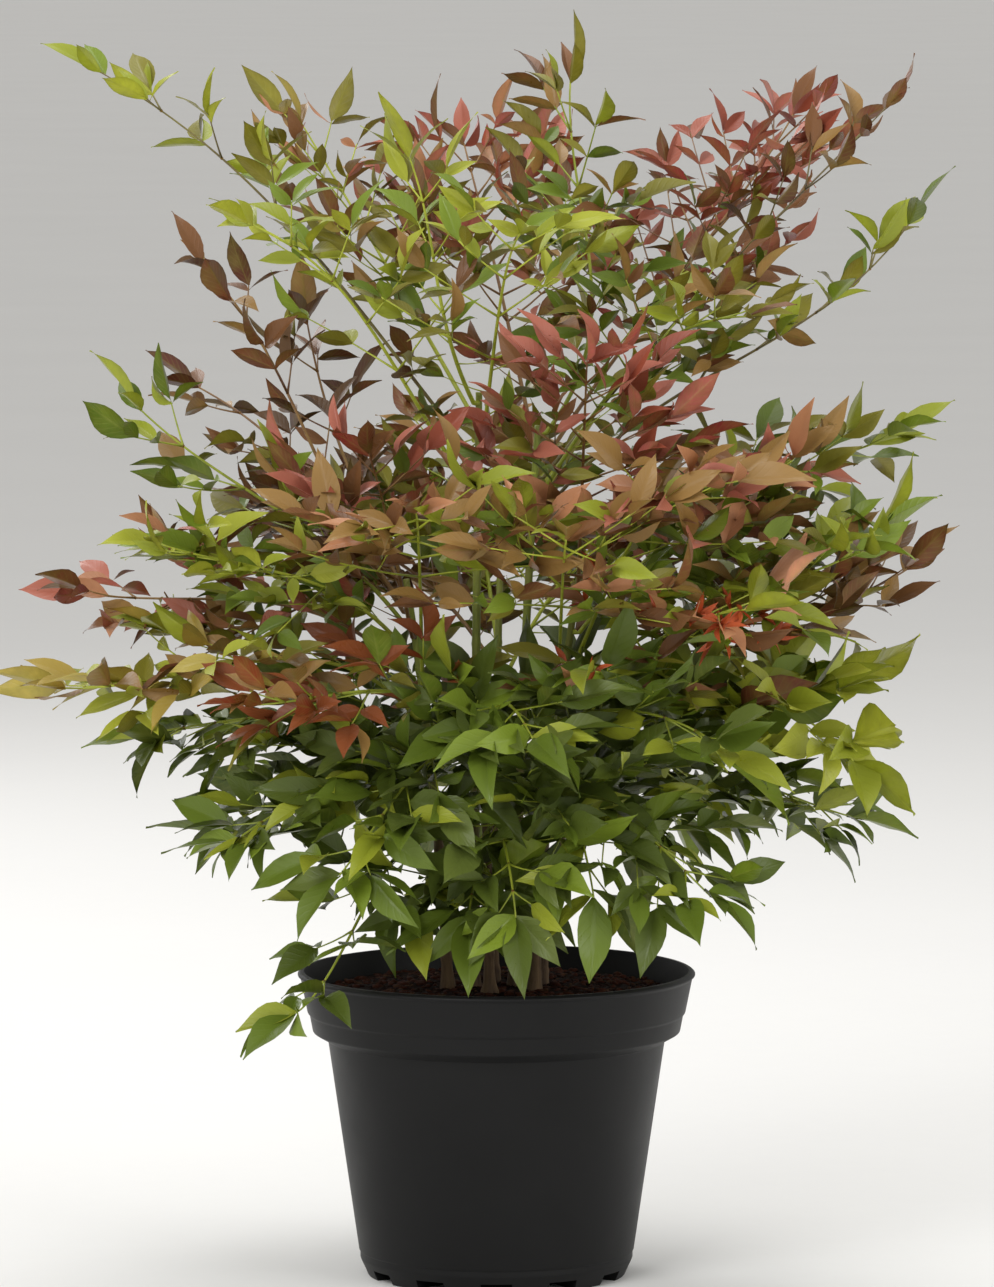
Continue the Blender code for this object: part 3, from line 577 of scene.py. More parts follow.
# Brown fibre gives way to green skin round the top of the sheaths, along a ragged edge
height_up = tree.nodes.new("ShaderNodeSeparateXYZ")
place = tree.nodes.new("ShaderNodeTexCoord")
links.new(place.outputs["Object"], height_up.inputs[0])
rise = tree.nodes.new("ShaderNodeMapRange")
rise.inputs["From Min"].default_value = SHEATH_TOP - SHEATH_FADE
rise.inputs["From Max"].default_value = SHEATH_TOP + 1.2 * SHEATH_FADE
links.new(height_up.outputs["Z"], rise.inputs["Value"])
ragged = tree.nodes.new("ShaderNodeMath")
ragged.operation = "MULTIPLY_ADD"
ragged.inputs[1].default_value = -0.5
ragged.use_clamp = True
links.new(fibre.outputs["Mask"], ragged.inputs[0])
links.new(rise.outputs["Result"], ragged.inputs[2])
skin = tree.nodes.new("ShaderNodeMix")
skin.data_type = "RGBA"
links.new(ragged.outputs[0], skin.inputs["Factor"])
links.new(fibre.outputs["Colour"], skin.inputs["A"])
links.new(green.outputs["Colour"], skin.inputs["B"])
links.new(skin.outputs["Result"], shader.inputs["Base Color"])
set_roughness(tree, shader, ragged.outputs[0], (0.85, 0.48))
set_relief(tree, shader, fibre.outputs["Height"], depth=0.0005, strength=1.0)


def bark(height, angle, offset, ridges):
    """A cane's relief: fibre ridges low down, and a swelling with a scar ring at every old leaf."""
    along = ((height + offset) / NODE_SPACING) % 1
    swell = NODE_SWELL * math.exp(-((along - NODE_PLACE) / NODE_LENGTH) ** 2)
    scar = SCAR_DEPTH * math.exp(-((along - SCAR_PLACE) / SCAR_LENGTH) ** 2)
    low = max(0.0, min(1.0, (SHEATH_TOP - height) / SHEATH_FADE))
    fibres = sum(math.sin(angle * waves + start + height * FIBRE_TWIST) for start, waves in ridges)
    return 1 + swell - scar + low * FIBRE_RELIEF * fibres


for name, cane in CANES.items():
    chance = random.Random("cane " + name)
    first, last = SOIL_TOP - CANE_SINK, cane.tip[2]
    count = round((last - first) / CANE_STEP)
    heights = [first + (last - first) * step / count for step in range(count + 1)]
    places = [cane_point(name, height) for height in heights]
    ridges = [(chance.uniform(0, math.tau), chance.choice((3, 5, 7))) for _ in range(3)]
    offset = chance.uniform(0, NODE_SPACING)
    points, quads = tube_arrays(
        [point for point, _ in places],
        [radius for _, radius in places],
        CANE_SIDES,
        lambda step, angle: bark(heights[step], angle, offset, ridges),
    )
    piece = new_piece("cane_" + name + "_stem", mesh_from("cane_" + name, points, quads), "cane",
                      ["cane_" + name])
    piece.data.materials.append(cane_material)

# The leaf stems
# Each compound leaf has one arching stem that leaves its cane above a clasping base and
# carries opposite pairs of side stems, and those finer ones: wiry, smooth, green to red.

ELBOW = 0.003
RISE = math.radians(52)
FIRST_PULL = 0.42
LAST_PULL = 0.36
END_SHARE = 0.9
ROOT_SHARE = 0.7
STEEP = 0.35
STEM_POINTS = 26
UP = Vector((0, 0, 1))
# Of each leaf: its cane and the height it leaves it at, its tip's azimuth, reach and height, the
# slope at its tip in degrees, its colours, its leaflets' length and how close its side stems are
Leaf = namedtuple("Leaf", "cane start azimuth reach height nod palette size fill stalked",
                  defaults=(False,))
LEAVES = {
    "upper_far_left": Leaf("tall_left", 0.478, -175, 0.254, 0.712, 30, "lime", 0.034, 0.5, True),
    "upper_left_front": Leaf("tall_left", 0.455, -146, 0.196, 0.624, 20, "lime", 0.033, 0.6),
    "upper_left_back": Leaf("tall_left", 0.498, 141, 0.165, 0.686, 50, "straw", 0.032, 0.75),
    "upper_top_left": Leaf("tall_left", 0.506, -132, 0.090, 0.680, 60, "lime", 0.040, 0.55),
    "upper_back": Leaf("tall_right", 0.480, 98, 0.178, 0.668, 45, "pink", 0.030, 1.05),
    "upper_spike": Leaf("tall_right", 0.488, 14, 0.046, 0.722, 86, "olive", 0.034, 0.7),
    "upper_right_back": Leaf("tall_right", 0.470, 33, 0.224, 0.690, 54, "crimson", 0.030, 1.0),
    "upper_far_right": Leaf("tall_right", 0.462, 2, 0.244, 0.696, 46, "rust", 0.031, 0.7, True),
    "upper_low_right": Leaf("tall_right", 0.440, -9, 0.257, 0.638, 55, "green", 0.033, 0.55, True),
    "upper_front": Leaf("tall_left", 0.470, -84, 0.172, 0.618, 15, "lime", 0.032, 0.7),
    "upper_right_front": Leaf("tall_right", 0.452, -34, 0.198, 0.562, 2, "olive", 0.033, 0.85),
    "mid_left_high": Leaf("mid_left", 0.392, 173, 0.192, 0.606, 45, "rust", 0.034, 0.4),
    "mid_left_upright": Leaf("mid_left", 0.398, 148, 0.137, 0.582, 74, "rust", 0.036, 0.4),
    "mid_left_rust": Leaf("mid_left", 0.386, 158, 0.216, 0.523, 22, "rust", 0.034, 0.4),
    "mid_left_green": Leaf("mid_left", 0.380, -178, 0.230, 0.528, 45, "green", 0.036, 0.6),
    "mid_left_lime": Leaf("mid_left", 0.362, -161, 0.232, 0.441, 20, "yellow", 0.034, 1.0),
    "mid_left_pink": Leaf("mid_left", 0.345, 173, 0.271, 0.397, 7, "pink", 0.035, 0.75),
    "mid_left_gold": Leaf("mid_left", 0.325, -173, 0.286, 0.346, 3, "gold", 0.040, 0.75),
    "mid_front_red": Leaf("mid_left", 0.372, -121, 0.150, 0.505, 42, "crimson", 0.034, 1.2),
    "mid_front_crimson": Leaf("mid_right", 0.402, -71, 0.158, 0.562, 50, "crimson", 0.034, 1.4),
    "mid_front_orange": Leaf("mid_left", 0.338, -102, 0.216, 0.464, 12, "bronze", 0.036, 1.0),
    "mid_front_rust": Leaf("mid_right", 0.322, -80, 0.226, 0.452, 15, "bronze", 0.036, 1.0),
    "mid_front_salmon": Leaf("mid_right", 0.348, -55, 0.216, 0.488, 22, "salmon", 0.037, 1.0),
    "mid_right_bronze": Leaf("mid_right", 0.376, -14, 0.213, 0.498, 30, "salmon", 0.037, 0.8),
    "mid_right_high": Leaf("mid_right", 0.395, 6, 0.260, 0.496, 20, "green", 0.037, 0.65),
    "mid_right_green": Leaf("mid_right", 0.334, -20, 0.262, 0.453, 32, "green", 0.040, 0.8),
    "mid_right_far": Leaf("mid_right", 0.322, 10, 0.270, 0.424, 32, "rust", 0.035, 0.8),
    "mid_right_front": Leaf("mid_right", 0.300, -47, 0.236, 0.405, 8, "scarlet", 0.038, 0.95),
    "mid_back_left": Leaf("mid_back", 0.352, 135, 0.232, 0.440, 12, "rust", 0.036, 1.3),
    "mid_back": Leaf("mid_back", 0.364, 98, 0.236, 0.482, 15, "olive", 0.036, 1.4),
    "mid_back_right": Leaf("mid_back", 0.340, 58, 0.236, 0.448, 14, "salmon", 0.036, 1.3),
    "low_right_gold": Leaf("short_back", 0.288, -10, 0.230, 0.272, -52, "round", 0.042, 1.0),
    "low_right": Leaf("short_back", 0.273, 8, 0.240, 0.254, -15, "deep", 0.036, 1.2),
    "low_right_front": Leaf("short_front", 0.275, -40, 0.188, 0.212, -40, "deep", 0.038, 1.1),
    "low_front": Leaf("short_front", 0.320, -82, 0.208, 0.318, -18, "deep", 0.044, 0.95),
    "low_front_left": Leaf("short_front", 0.300, -128, 0.180, 0.222, -40, "deep", 0.044, 0.95),
    "low_front_drop": Leaf("short_front", 0.262, -84, 0.136, 0.186, -66, "deep", 0.045, 1.1),
    "low_front_right": Leaf("short_front", 0.296, -42, 0.212, 0.298, -32, "deep", 0.044, 0.95),
    "low_front_inner": Leaf("mid_right", 0.270, -66, 0.148, 0.200, -58, "deep", 0.045, 1.1),
    "low_inner_front": Leaf("short_front", 0.240, -100, 0.112, 0.184, -60, "deep", 0.044, 1.2),
    "low_inner_left": Leaf("mid_left", 0.226, -118, 0.106, 0.188, -50, "deep", 0.044, 1.2),
    "low_left_red": Leaf("short_front", 0.318, -140, 0.214, 0.344, 0, "brick", 0.036, 1.15),
    "low_left": Leaf("mid_left", 0.290, -179, 0.232, 0.311, -8, "deep", 0.036, 1.2),
    "low_left_front": Leaf("mid_left", 0.268, -154, 0.194, 0.244, -30, "deep", 0.038, 1.0),
    "low_over_rim": Leaf("mid_left", 0.240, -140, 0.180, 0.152, -20, "deep", 0.040, 0.65),
    "low_back_left": Leaf("mid_back", 0.290, 148, 0.212, 0.226, -34, "deep", 0.041, 1.2),
    "low_back": Leaf("mid_back", 0.270, 102, 0.206, 0.222, -38, "deep", 0.042, 1.3),
    "low_back_right": Leaf("short_back", 0.270, 55, 0.210, 0.226, -36, "deep", 0.041, 1.2),
}
STEM_COLOURS = {
    "green": ((0.220, 0.270, 0.022), (0.360, 0.410, 0.036)),
    "lime": ((0.320, 0.370, 0.030), (0.480, 0.530, 0.050)),
    "red": ((0.150, 0.060, 0.024), (0.290, 0.170, 0.046)),
    "wiry": ((0.090, 0.060, 0.022), (0.200, 0.170, 0.040)),
}
STEM_KINDS = {
    "lime": "lime", "yellow": "lime", "olive": "green", "green": "green", "deep": "green",
    "gold": "lime", "bronze": "lime", "salmon": "lime", "pink": "red", "crimson": "red",
    "rust": "red", "scarlet": "lime", "brick": "green", "round": "lime", "straw": "lime",
}
# Where the side stems start, as a share of the stem. A few stems in the middle of the front
# show bare and bright below their leaflets.
FIRST_TWIG = 0.40
FIRST_TWIG_LOW = 0.30
FIRST_TWIG_DEEP = 0.14
FIRST_TWIG_BACK = 0.22
FIRST_TWIG_STALKED = 0.44
FIRST_TWIG_SHOWN = 0.50
SHOWN_STEMS = ("mid_front_orange", "mid_front_rust", "mid_front_salmon")
LAST_TWIG = 0.95
END_STEP = 0.6
LOW_START = 0.325
UPPER_START = 0.43
PAIR_SPACING = 0.0215
TWIG_ANGLE = 58
TWIG_ANGLE_DROP = 16
TWIG_ANGLE_SPREAD = 7
TWIG_SHARE = 0.44
TWIG_SHARE_DROP = 0.33
TWIG_LENGTHS = (0.8, 1.15)
STALKED_TWIG = 0.5
FILL_LEAST = 0.15
FILL_GAIN = 0.9
SHORTEST_TWIG = 0.009
LONGEST_TWIG = 0.088
# Side stems from these lengths on carry three leaflets, two more, and finer stems
TRIO_TWIG = 0.013
PAIRED_TWIG = 0.032
BRANCHED_TWIG = 0.056
BRANCHED_FILL = 0.6
# How far below and above the level the side stems roll about their leaf's stem
UPPER_ROLLS = (-0.20, 0.75)
MIDDLE_ROLLS = (-0.8, 0.65)
DEEP_ROLLS = (-1.0, 0.8)
TWIG_BENDS = (-0.05, 0.16)
TWIG_STEPS = 4
TWIG_LEAFLETS = (0.9, 1.06)
TRIO_ANGLES = (38, 56)
TRIO_SETBACKS = (0.001, 0.005)
MIDDLE_LEAFLET = 1.08
SIDE_LEAFLET = 0.86
TIP_LEAFLET = 1.05
PAIR_SHARES = (0.50,)
PAIR_ANGLES = (42, 60)
PAIR_LIFTS = (-0.12, 0.22)
PAIR_CHANCE = 0.94
PAIR_LEAFLET = 0.9
BRANCHED_SHARES = (0.36, 0.68)
FINE_SHARES = (0.45,)
FINE_LENGTHS = (0.022, 0.036)
FINE_BEND = 0.1
FINE_STEPS = 3
FINE_LEAFLET = 0.94
# How far out a bud counts as being, from 0 at the leaf's foot to 1 at its tips
FIRST_PLACE = 0.25
PLACE_PER_METRE = 3.125
PLACE_STEP_IN = 0.1
# Short tufts near the leaf's foot fill the shaded inside of the plant
INNER_SHARES = (0.10, 0.20, 0.31)
UPPER_INNER_SHARES = (0.20, 0.28, 0.36)
INNER_LENGTHS = (0.018, 0.034)
INNER_ALONG = 0.5
INNER_ACROSS = 0.8
INNER_LIFTS = (-0.5, 0.2)
DEEP_INNER_LIFTS = (-1.5, -0.5)
INNER_LEAFLET = 0.95
POT_MARGIN = 0.003
MAIN_RADII = (0.0014, 0.0005)
STALKED_RADII = (0.0012, 0.0004)
SIDE_RADII = (0.0006, 0.0004)
FINE_RADII = (0.0005, 0.0003)
STEM_BASE_FLARE = 1.35


def spine(leaf):
    """Points from the cane's side to the leaf's tip: out, up, and over to the tip's slope."""
    axis, radius = cane_point(leaf.cane, leaf.start)
    around = math.radians(leaf.azimuth)
    tip = Vector((leaf.reach * math.cos(around), leaf.reach * math.sin(around), leaf.height))
    outward = Vector((tip.x - axis.x, tip.y - axis.y, 0)).normalized()
    rising = (cane_point(leaf.cane, leaf.start + ELBOW)[0] - axis).normalized()
    square = (outward - rising * outward.dot(rising)).normalized()
    root = axis + square * radius * ROOT_SHARE
    start = axis + square * (radius + ELBOW)
    nod = math.radians(leaf.nod)
    ending = outward * math.cos(nod) + UP * math.sin(nod)
    tip -= ending * leaf.size * END_SHARE
    span = (tip - start).length
    first = start + (outward * math.cos(RISE) + UP * math.sin(RISE)) * span * FIRST_PULL
    last = tip - ending * span * LAST_PULL
    points = [root]
    for step in range(STEM_POINTS):
        t = step / (STEM_POINTS - 1)
        points.append(
            start * (1 - t) ** 3
            + first * 3 * t * (1 - t) ** 2
            + last * 3 * t * t * (1 - t)
            + tip * t**3
        )
    return points


def line_length(points):
    """The length of a line along its points."""
    return sum((b - a).length for a, b in zip(points, points[1:]))


def at_share(points, share):
    """(point, direction) at a share of a line's length."""
    lengths = [(b - a).length for a, b in zip(points, points[1:])]
    left = share * sum(lengths)
    for a, b, length in zip(points, points[1:], lengths):
        if left <= length:
            return a.lerp(b, left / length), (b - a).normalized()
        left -= length
    return points[-1].copy(), (points[-1] - points[-2]).normalized()


def level_across(along, leaf):
    """The level direction across a line, or across the leaf's own azimuth where the line is steep."""
    across = along.cross(UP)
    if across.length > STEEP:
        return across.normalized()
    side = math.radians(leaf.azimuth - 90)
    return Vector((math.cos(side), math.sin(side), 0))


def in_pot(place):
    """Whether a place is in the pot's wall or soil, or so near that a leaf would touch it."""
    radius = math.hypot(place.x, place.y)
    if place.z > POT_HEIGHT + POT_MARGIN or radius > RIM_RADIUS + POT_MARGIN:
        return False
    return radius > COLLAR_BOTTOM_RADIUS - 2 * POT_MARGIN or place.z < SOIL_TOP + POT_MARGIN


def stem_kind(leaf):
    """The colour of a leaf's stems."""
    return "wiry" if leaf.stalked else STEM_KINDS[leaf.palette]


def bent(root, way, reach, lift, steps):
    """A side stem: it sets off one way and bends up or down a little to its end."""
    points = []
    for step in range(steps + 1):
        t = step / steps
        points.append(root + way * reach * t + UP * lift * reach * t * t)
    return points


Bud = namedtuple("Bud", "root way across place size")


class Growth:
    """All side stems and leaf buds of one compound leaf."""

    def __init__(self, name, leaf):
        self.name, self.leaf = name, leaf
        self.chance = random.Random(name)
        self.stem = spine(leaf)
        self.length = line_length(self.stem)
        self.deep = leaf.palette == "deep"
        self.sides, self.fine, self.buds = [], [], []

    def bud(self, root, way, place, size):
        """One leaflet's bud, unless the leaflet would be in the pot."""
        if not in_pot(root + way * self.leaf.size * END_SHARE) and not in_pot(root):
            self.buds.append(Bud(root, way.normalized(), level_across(way, self.leaf), place, size))

    def trio(self, line, place, size):
        """The three leaflets at a stem's end, the middle one largest."""
        end, along = line[-1], (line[-1] - line[-2]).normalized()
        across = level_across(along, self.leaf)
        self.bud(end, along, place, size * MIDDLE_LEAFLET)
        for side in (-1, 1):
            angle = math.radians(self.chance.uniform(*TRIO_ANGLES))
            back = end - along * self.chance.uniform(*TRIO_SETBACKS)
            way = along * math.cos(angle) + across * side * math.sin(angle)
            self.bud(back, way, place, size * SIDE_LEAFLET)

    def pairs(self, line, shares, place, size, branching=False):
        """Opposite leaflets along a side stem. The first pair may be finer stems instead."""
        for number, share in enumerate(shares):
            root, along = at_share(line, share)
            across = level_across(along, self.leaf)
            for side in (-1, 1):
                angle = math.radians(self.chance.uniform(*PAIR_ANGLES))
                way = along * math.cos(angle) + across * side * math.sin(angle)
                way += UP * self.chance.uniform(*PAIR_LIFTS)
                way.normalize()
                if branching and number == 0:
                    length = self.chance.uniform(*FINE_LENGTHS)
                    twig = bent(root, way, length, FINE_BEND, FINE_STEPS)
                    if in_pot(twig[-1]):
                        continue
                    self.fine.append(twig)
                    self.trio(twig, place, size * FINE_LEAFLET)
                    self.pairs(twig, FINE_SHARES, place - PLACE_STEP_IN, size * PAIR_LEAFLET)
                elif self.chance.random() < PAIR_CHANCE:
                    self.bud(root, way, place, size * PAIR_LEAFLET)

    def first_twig(self):
        """The share of the stem that is bare below its first side stems."""
        if self.name in SHOWN_STEMS:
            return FIRST_TWIG_SHOWN
        if self.leaf.cane == "mid_back":
            return FIRST_TWIG_BACK
        if self.deep:
            return FIRST_TWIG_DEEP
        if self.leaf.stalked:
            return FIRST_TWIG_STALKED
        return FIRST_TWIG_LOW if self.leaf.start < LOW_START else FIRST_TWIG

    def rolls(self):
        """How far the side stems roll about the stem, at the lowest and the highest."""
        if self.leaf.start > UPPER_START:
            return UPPER_ROLLS
        return DEEP_ROLLS if self.deep else MIDDLE_ROLLS

    def side_stem(self, root, along, sideways, angle, reach, place):
        """One side stem with its leaflets, more of them the longer it is."""
        way = along * math.cos(angle) + sideways * math.sin(angle)
        twig = bent(root, way, reach, self.chance.uniform(*TWIG_BENDS), TWIG_STEPS)
        if in_pot(twig[-1]) or in_pot(twig[2]):
            return
        self.sides.append(twig)
        size = self.chance.uniform(*TWIG_LEAFLETS)
        outer = min(1.0, place + PLACE_PER_METRE * reach)
        if reach < TRIO_TWIG:
            self.bud(twig[-1], way, outer, size)
            return
        self.trio(twig, outer, size)
        if reach > BRANCHED_TWIG and self.leaf.fill > BRANCHED_FILL:
            self.pairs(twig, BRANCHED_SHARES, outer - PLACE_STEP_IN, size, branching=True)
        elif reach > PAIRED_TWIG:
            self.pairs(twig, PAIR_SHARES, outer - PLACE_STEP_IN / 2, size)

    def inner_tufts(self):
        """Three leaflets on a short fine stem at each place near the leaf's foot."""
        upper = self.leaf.cane.startswith("tall")
        for share in UPPER_INNER_SHARES if upper else INNER_SHARES:
            root, along = at_share(self.stem, share)
            across = level_across(along, self.leaf) * self.chance.choice((-1, 1))
            lift = self.chance.uniform(*(DEEP_INNER_LIFTS if self.deep else INNER_LIFTS))
            way = (along * INNER_ALONG + across * INNER_ACROSS + UP * lift).normalized()
            length = self.chance.uniform(*INNER_LENGTHS)
            twig = bent(root, way, length, FINE_BEND, FINE_STEPS)
            if not in_pot(twig[-1]):
                self.fine.append(twig)
                self.trio(twig, 0.0, INNER_LEAFLET)

    def grow(self):
        """Opposite side stems up the stem, shorter towards its tip, and the tip's own leaflets."""
        leaf, chance, bare = self.leaf, self.chance, self.first_twig()
        pairs = max(3, round(self.length * (1 - bare) * leaf.fill / PAIR_SPACING))
        for pair in range(pairs):
            share = bare + (LAST_TWIG - bare) * pair / (pairs - 1 + END_STEP)
            root, along = at_share(self.stem, share)
            across = level_across(along, leaf)
            lift = across.cross(along)
            place = FIRST_PLACE + (1 - FIRST_PLACE) * pair / pairs
            for side in (-1, 1):
                degrees = TWIG_ANGLE - TWIG_ANGLE_DROP * pair / pairs
                angle = math.radians(degrees + chance.uniform(-TWIG_ANGLE_SPREAD, TWIG_ANGLE_SPREAD))
                reach = self.length * (TWIG_SHARE - TWIG_SHARE_DROP * pair / pairs)
                reach *= chance.uniform(*TWIG_LENGTHS)
                reach *= min(1.0, FILL_LEAST + FILL_GAIN * leaf.fill)
                reach *= STALKED_TWIG if leaf.stalked else 1
                reach = min(LONGEST_TWIG, max(SHORTEST_TWIG, reach))
                sideways = (across * side + lift * chance.uniform(*self.rolls())).normalized()
                self.side_stem(root, along, sideways, angle, reach, place)
        if not leaf.stalked and self.name not in SHOWN_STEMS:
            self.inner_tufts()
        self.trio(self.stem, 1.0, TIP_LEAFLET)
        return self


growths = {name: Growth(name, leaf).grow() for name, leaf in LEAVES.items()}
for kind, (tone_a, tone_b) in STEM_COLOURS.items():
    parts, replaced = [], []
    for name, growth in growths.items():
        if kind != stem_kind(growth.leaf):
            continue
        replaced.append("leaf_" + name)
        if growth.leaf.stalked:
            replaced.append("stalk_" + name)
        lines = [(growth.stem, STALKED_RADII if growth.leaf.stalked else MAIN_RADII, 7)]
        lines += [(twig, SIDE_RADII, 5) for twig in growth.sides]
        lines += [(twig, FINE_RADII, 4) for twig in growth.fine]
        for line, (first, last), sides in lines:
            radii = [first + (last - first) * i / (len(line) - 1) for i in range(len(line))]
            radii[0] *= STEM_BASE_FLARE
            parts.append(tube_arrays(line, radii, sides))
    piece = new_piece("leaf_stems_" + kind, joined_mesh("leaf_stems_" + kind, parts), "stalk",
                      replaced)
    piece.data.materials.append(
        mottled_material("stem_" + kind, tone_a, tone_b, patch=45, grain=500, rough=(0.36, 0.50),
                         relief=0.0001)
    )

# The stem joints
# Where side stems leave, every leaf stem is swollen into a small ring-like knuckle. It's part
# of the stem, and flushed orange to red.

JOINT_RADIUS = 0.00105
FINE_JOINT_RADIUS = 0.75 * JOINT_RADIUS
JOINT_COLOURS = ((0.300, 0.120, 0.035), (0.420, 0.260, 0.050))
knuckle_points, knuckle_faces = ball_arrays()
joints = []
for growth in growths.values():
    sizes = [JOINT_RADIUS] * len(growth.sides) + [FINE_JOINT_RADIUS] * len(growth.fine)
    for twig, size in zip(growth.sides + growth.fine, sizes):
        joints.append((knuckle_points * size + np.array(twig[0]), knuckle_faces))
joint_piece = new_piece("stem_joints", joined_mesh("stem_joints", joints), "stalk")
joint_piece.data.materials.append(
    mottled_material("joint_skin", *JOINT_COLOURS, patch=60, grain=700, rough=(0.40, 0.55),
                     relief=0.0001)
)

# The leaflets
# Thin leathery blades, lance-shaped with a drawn-out point, folded a little along the midrib
# and arching to the tip. New growth and autumn turn them lime, bronze, rust and crimson.

STATIONS = np.array([0, 0.05, 0.14, 0.27, 0.42, 0.57, 0.71, 0.83, 0.93, 1.0])
HALF_WIDTHS = np.array([0.05, 0.22, 0.58, 0.90, 1.0, 0.91, 0.67, 0.37, 0.13, 0.0])
ACROSS = np.array([-1.0, -0.5, 0.0, 0.0, 0.5, 1.0])
# Lengths are shares of the leaf's own leaflet size. The last ones vary least.
TIP_LENGTHS = (0.92, 1.06)
OTHER_LENGTHS = (0.62, 1.20)
USUAL_LENGTH = 1.02
BREADTHS = (0.86, 1.14)
TIP_STRAY = 0.12
OTHER_STRAY = 0.26
RISING_NOD = 20
RISING_LIFT = 0.20
LEVEL_LIFT = 0.10
LIFT_SPREAD = 0.15
FACE_UP = 0.70
FACE_OUT = 0.62
FACE_STRAY = 0.42
FOLDS = (16, 46)
ARCHES = (0.0, 0.18)
HOOKS = (0.0, 0.05)
TWIST = 0.16
BELLY = 0.10
RIPPLE = 0.07
RIPPLE_WAVES = (1.2, 2.0)
LEAF_COLOURS = {
    "lime": (168, 172, 52), "yellow_green": (146, 154, 40), "olive": (124, 116, 34),
    "fresh_green": (114, 134, 34), "leaf_green": (88, 108, 26), "deep_green": (68, 84, 22),
    "grey_green": (88, 102, 42), "crimson": (148, 57, 52), "rose": (176, 94, 84),
    "scarlet": (186, 70, 40), "rust": (118, 66, 44), "maroon": (90, 47, 33),
    "salmon": (186, 124, 92), "bronze": (148, 108, 60), "gold": (166, 139, 58),
    "straw": (176, 156, 72), "brick": (134, 54, 32),
}
# Each palette: the colours near a leaf's foot, those towards its tips, and how broad its
# leaflets are for their length
PALETTES = {
    "lime": (("olive", "leaf_green", "olive", "rust", "fresh_green", "bronze"),
             ("lime", "yellow_green", "fresh_green", "olive", "lime", "yellow_green"), 0.33),
    "round": (("fresh_green", "leaf_green", "yellow_green"),
              ("yellow_green", "lime", "lime", "yellow_green"), 0.54),
    "straw": (("bronze", "olive", "rust"),
              ("bronze", "straw", "salmon", "rose", "olive"), 0.32),
    "yellow": (("fresh_green", "leaf_green", "yellow_green"),
               ("yellow_green", "lime", "lime", "fresh_green"), 0.36),
    "olive": (("olive", "fresh_green", "leaf_green"),
              ("olive", "yellow_green", "olive", "bronze", "rust"), 0.33),
    "green": (("leaf_green", "olive", "fresh_green", "bronze"),
              ("fresh_green", "yellow_green", "leaf_green", "yellow_green", "olive"), 0.36),
    "deep": (("deep_green", "deep_green", "leaf_green", "grey_green"),
             ("leaf_green", "deep_green", "grey_green", "fresh_green", "leaf_green", "fresh_green",
              "deep_green", "yellow_green"), 0.38),
    "gold": (("yellow_green", "olive", "bronze"),
             ("gold", "straw", "gold", "bronze", "lime"), 0.36),
    "bronze": (("olive", "leaf_green", "bronze", "fresh_green", "rust"),
               ("bronze", "salmon", "bronze", "rust", "yellow_green"), 0.35),
    "salmon": (("olive", "leaf_green", "bronze", "rust", "fresh_green"),
               ("salmon", "rose", "bronze", "salmon", "bronze"), 0.36),
    "pink": (("rust", "rose", "olive", "bronze"),
             ("rose", "rust", "salmon", "rose", "crimson"), 0.34),
    "crimson": (("rust", "rose", "olive", "leaf_green", "crimson"),
                ("crimson", "rose", "rose", "crimson", "rust"), 0.33),
    "rust": (("olive", "rust", "maroon"),
             ("rust", "maroon", "rust", "bronze", "maroon"), 0.35),
    "brick": (("leaf_green", "brick", "olive"),
              ("brick", "brick", "brick", "bronze"), 0.36),
    "scarlet": (("leaf_green", "olive", "fresh_green", "rust"),
                ("scarlet", "scarlet", "fresh_green", "yellow_green", "salmon"), 0.37),
}


def linear(colour):
    """An sRGB colour of 0 to 255 as linear light."""
    return tuple(
        (c / 255 / 12.92) if c <= 10 else ((c / 255 + 0.055) / 1.055) ** 2.4 for c in colour
    )


def random_vector(chance, spread):
    """A small vector that points anywhere."""
    return Vector([chance.gauss(0, spread) for _ in range(3)])


